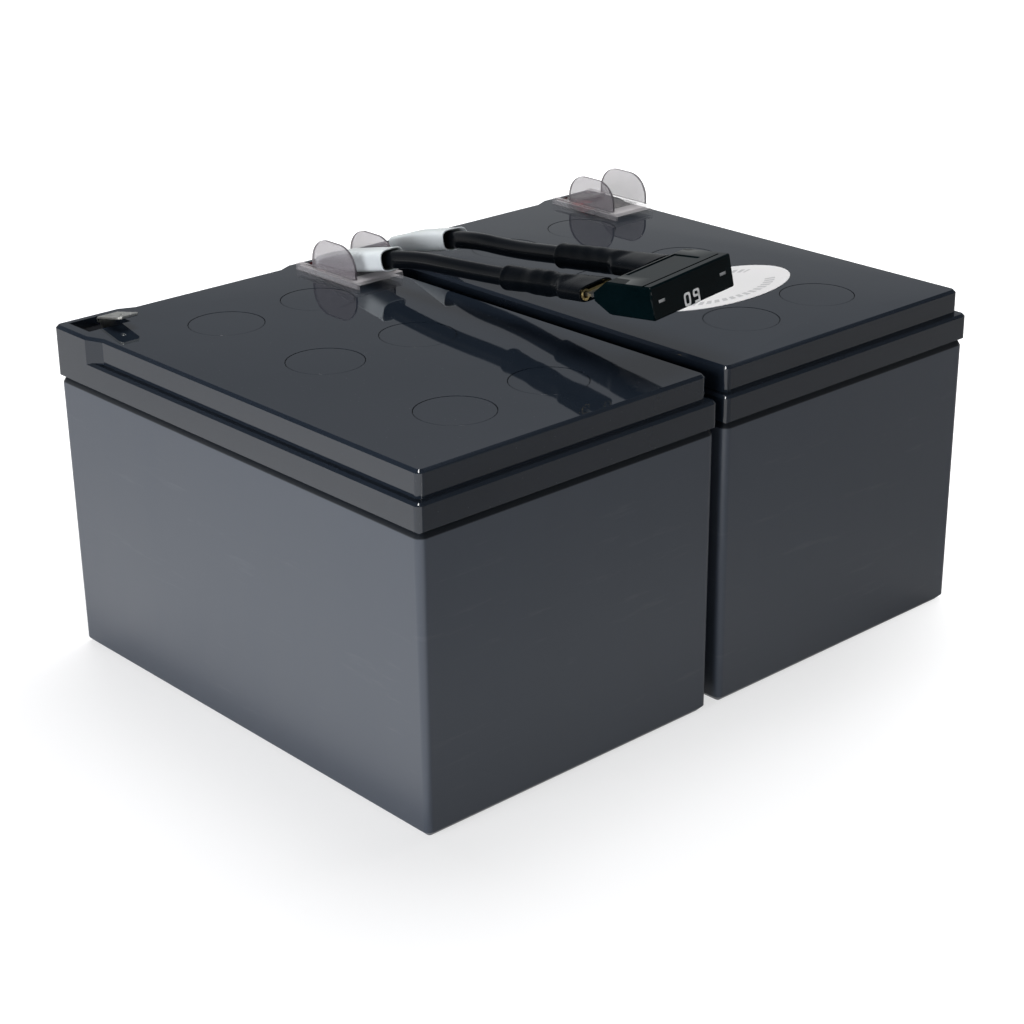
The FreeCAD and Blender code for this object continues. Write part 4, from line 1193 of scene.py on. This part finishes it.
@dataclass
class Studio:
    """Pale floor, white surroundings, soft lamps and the camera.

    The camera's place is in millimetres; the floor's places and levels are in metres and in
    emission strength.
    """

    camera_place: tuple[float, float, float] = (-394.425, -434.043, 281.139)
    camera_turn: tuple[float, float, float] = (1.863, -0.729, 0.468)
    lens: float = 79.43
    floor_half: float = 6.0
    floor_tone: tuple[float, float, float, float] = (0.42, 0.42, 0.425, 1)
    shadow_middle: tuple[float, float, float] = (-0.07, -0.01, 0.0)
    shadow_reach: tuple[float, float] = (0.12, 0.25)
    shadow_level: float = 0.66
    dark_level: float = 0.06
    left_glow: tuple[float, float] = (1.36, 0.68)
    left_glow_along: tuple[float, float] = (-0.03, 0.25)
    left_glow_edge: tuple[float, float] = (-0.118, -0.098)
    front_glow: float = 0.42
    front_glow_across: tuple[float, float] = (0.02, 0.16)
    front_glow_edge: tuple[float, float] = (-0.24, -0.09)
    dim_tone: tuple[float, float, float, float] = (0.93, 0.96, 1.0, 1)
    dim_level: float = 0.05
    # what glossy faces mirror of the room, from level with them to straight overhead
    room: tuple[tuple[float, tuple[float, ...]], ...] = (
        (0.0, (0.42, 0.43, 0.43, 1)), (0.265, (0.40, 0.41, 0.42, 1)),
        (0.30, (0.27, 0.28, 0.295, 1)), (0.33, (0.26, 0.27, 0.285, 1)),
        (0.375, (0.33, 0.34, 0.36, 1)), (0.44, (0.20, 0.21, 0.225, 1)),
        (0.56, (0.10, 0.11, 0.13, 1)), (1.0, (0.13, 0.135, 0.15, 1)))
    lamps: tuple[Softbox, ...] = (
        Softbox("softbox_left", (-1.5, -0.22, 0.20), 1.0, 29.0, colour="#f9faff"),
        Softbox("softbox_front", (-0.36, -0.42, 0.12), 0.2, 0.22, colour="#f2f6ff"),
        Softbox("softbox_top", (0.45, 0.45, 1.6), 1.0, 22.5),
        Softbox("softbox_right", (1.6, 0.0, 0.5), 1.0, 10.0),
        Softbox("softbox_back", (0.2, 1.6, 0.5), 1.0, 9.0),
        Softbox("glint_left", (-0.72, -0.36, 1.9), 0.4, 14.0, LampUse.GLINT),
        Softbox("glint_right", (-0.75, -1.75, 1.9), 0.5, 16.0, LampUse.GLINT))

    def build_camera(self) -> None:
        """The camera: its turn is a rotation vector from the frame to the view."""
        vector = Vector(self.camera_turn)
        world_to_view = Matrix.Rotation(vector.length, 3, vector.normalized())
        right, down, ahead = (Vector(row) for row in world_to_view)
        camera = bpy.data.cameras.new("studio_camera")
        camera.lens = self.lens
        camera.sensor_width = 36.0
        camera.clip_start = 0.01
        camera.clip_end = 50.0
        item = bpy.data.objects.new("studio_camera", camera)
        axes = Matrix((right, -down, -ahead)).transposed().to_4x4()
        item.matrix_world = Matrix.Translation(Vector(self.camera_place) * MM) @ axes
        bpy.context.scene.collection.objects.link(item)
        bpy.context.scene.camera = item

    def build_floor(self) -> None:
        """A pale sweep, white to the view away from the cartridge, with painted shade round its
        foot, that keeps the cartridge's shadow.
        """
        half = self.floor_half / MM
        corners = np.array([(-half, -half, 0), (half, -half, 0), (half, half, 0),
                            (-half, half, 0)], float)
        material, tree, shader, place = start_material("studio_floor_white")
        rays = add(tree, "ShaderNodeLightPath")
        seen = add(tree, MATH, {0: rays.outputs["Is Camera Ray"],
                                1: rays.outputs["Is Transmission Ray"]}, operation="MAXIMUM")
        # painted shade: the sweep's glow is dimmest round a point a little left of the cartridge
        # and whitens with distance, a grey halo round its foot that also lets its cast shadow show
        # near the cartridge only
        away = add(tree, "ShaderNodeVectorMath", {0: place, 1: self.shadow_middle},
                   operation="DISTANCE")
        near, far = self.shadow_reach
        white = add(tree, RANGE, {"Value": away, "From Min": near, "From Max": far,
                                  "To Min": self.shadow_level, "To Max": 1.0},
                    interpolation_type="SMOOTHSTEP")
        shown = add(tree, MATH, {0: seen, 1: white}, operation="MULTIPLY")
        parts = add(tree, SEPARATE, {"Vector": place})
        # glossy faces mirror a bright sweep on the left, brightest beside the front corner
        (front, back), (high, low) = self.left_glow_along, self.left_glow
        bright = add(tree, RANGE, {"Value": parts.outputs["Y"], "From Min": front,
                                   "From Max": back, "To Min": high, "To Max": low})
        outer, inner = self.left_glow_edge
        left_glow = add(tree, RANGE, {"Value": parts.outputs["X"], "From Min": outer,
                                      "From Max": inner, "To Min": bright,
                                      "To Max": self.dark_level}, interpolation_type="SMOOTHSTEP")
        # and a dim strip along the foot of the front, which fades to the right
        start, end = self.front_glow_across
        strip = add(tree, RANGE, {"Value": parts.outputs["X"], "From Min": start, "From Max": end,
                                  "To Min": self.front_glow, "To Max": self.dark_level},
                    interpolation_type="SMOOTHSTEP")
        outer, inner = self.front_glow_edge
        front_glow = add(tree, RANGE, {"Value": parts.outputs["Y"], "From Min": outer,
                                       "From Max": inner, "To Min": self.dark_level,
                                       "To Max": strip}, interpolation_type="SMOOTHSTEP")
        either = add(tree, MATH, {0: left_glow, 1: front_glow}, operation="MAXIMUM")
        mirrored = add(tree, MATH, {0: rays.outputs["Is Glossy Ray"], 1: either},
                       operation="MULTIPLY")
        level = add(tree, MATH, {0: shown, 1: mirrored}, operation="MAXIMUM")
        join(shader, {"Base Color": self.floor_tone, "Roughness": 0.9, "Specular IOR Level": 0.0,
                      "Emission Color": (1, 1, 1, 1), "Emission Strength": level})
        floor = mesh_object("studio_floor", corners, np.array([[0, 1, 2, 3]]), material)

    def build_world(self) -> None:
        """White to the view and through clear plastic, a dim grey studio to everything else."""
        world = bpy.data.worlds.new("studio_world")
        world.use_nodes = True
        tree = world.node_tree
        tree.nodes.clear()
        rays = add(tree, "ShaderNodeLightPath")
        seen = add(tree, MATH, {0: rays.outputs["Is Camera Ray"],
                                1: rays.outputs["Is Transmission Ray"]}, operation="MAXIMUM")
        direction = add(tree, "ShaderNodeTexCoord").outputs["Generated"]
        parts = add(tree, SEPARATE, {"Vector": direction})
        rising = add(tree, MATH, {0: parts.outputs["Z"], 1: 0.0}, operation="MAXIMUM")
        mirrored = add(tree, "ShaderNodeValToRGB", {"Fac": rising}, stops=self.room)
        dim = add(tree, "ShaderNodeBackground", {"Color": self.dim_tone,
                                                 "Strength": self.dim_level})
        gloss = add(tree, "ShaderNodeBackground", {"Color": mirrored, "Strength": 1.0})
        white = add(tree, "ShaderNodeBackground", {"Color": (1, 1, 1, 1), "Strength": 1.0})
        shown = add(tree, "ShaderNodeMixShader", {0: rays.outputs["Is Glossy Ray"], 1: dim,
                                                  2: gloss})
        total = add(tree, "ShaderNodeMixShader", {0: seen, 1: shown, 2: white})
        add(tree, "ShaderNodeOutputWorld", {"Surface": total})
        bpy.context.scene.world = world

    def build(self) -> None:
        """Make the whole studio."""
        self.build_camera()
        self.build_floor()
        self.build_world()
        for lamp in self.lamps:
            lamp.build()
        bpy.context.scene.view_settings.view_transform = "Standard"


def main() -> None:
    """Build the studio, then the jumper, the blocks and what is on them."""
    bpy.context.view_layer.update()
    logging.basicConfig(level=logging.INFO, format="%(name)s: %(message)s")
    Studio().build()
    finishes = Finishes()
    Jumper(finishes).build()
    for tag in BLOCKS:
        Block(tag).build(finishes)
    low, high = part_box("oval_label")
    dress_node("oval_label", OvalPaper().build((low + high) / 2))
    for node in ("foam_tape_lower", "foam_tape_upper"):
        dress_node(node, finishes.foam)


if __name__ == "__main__":
    main()
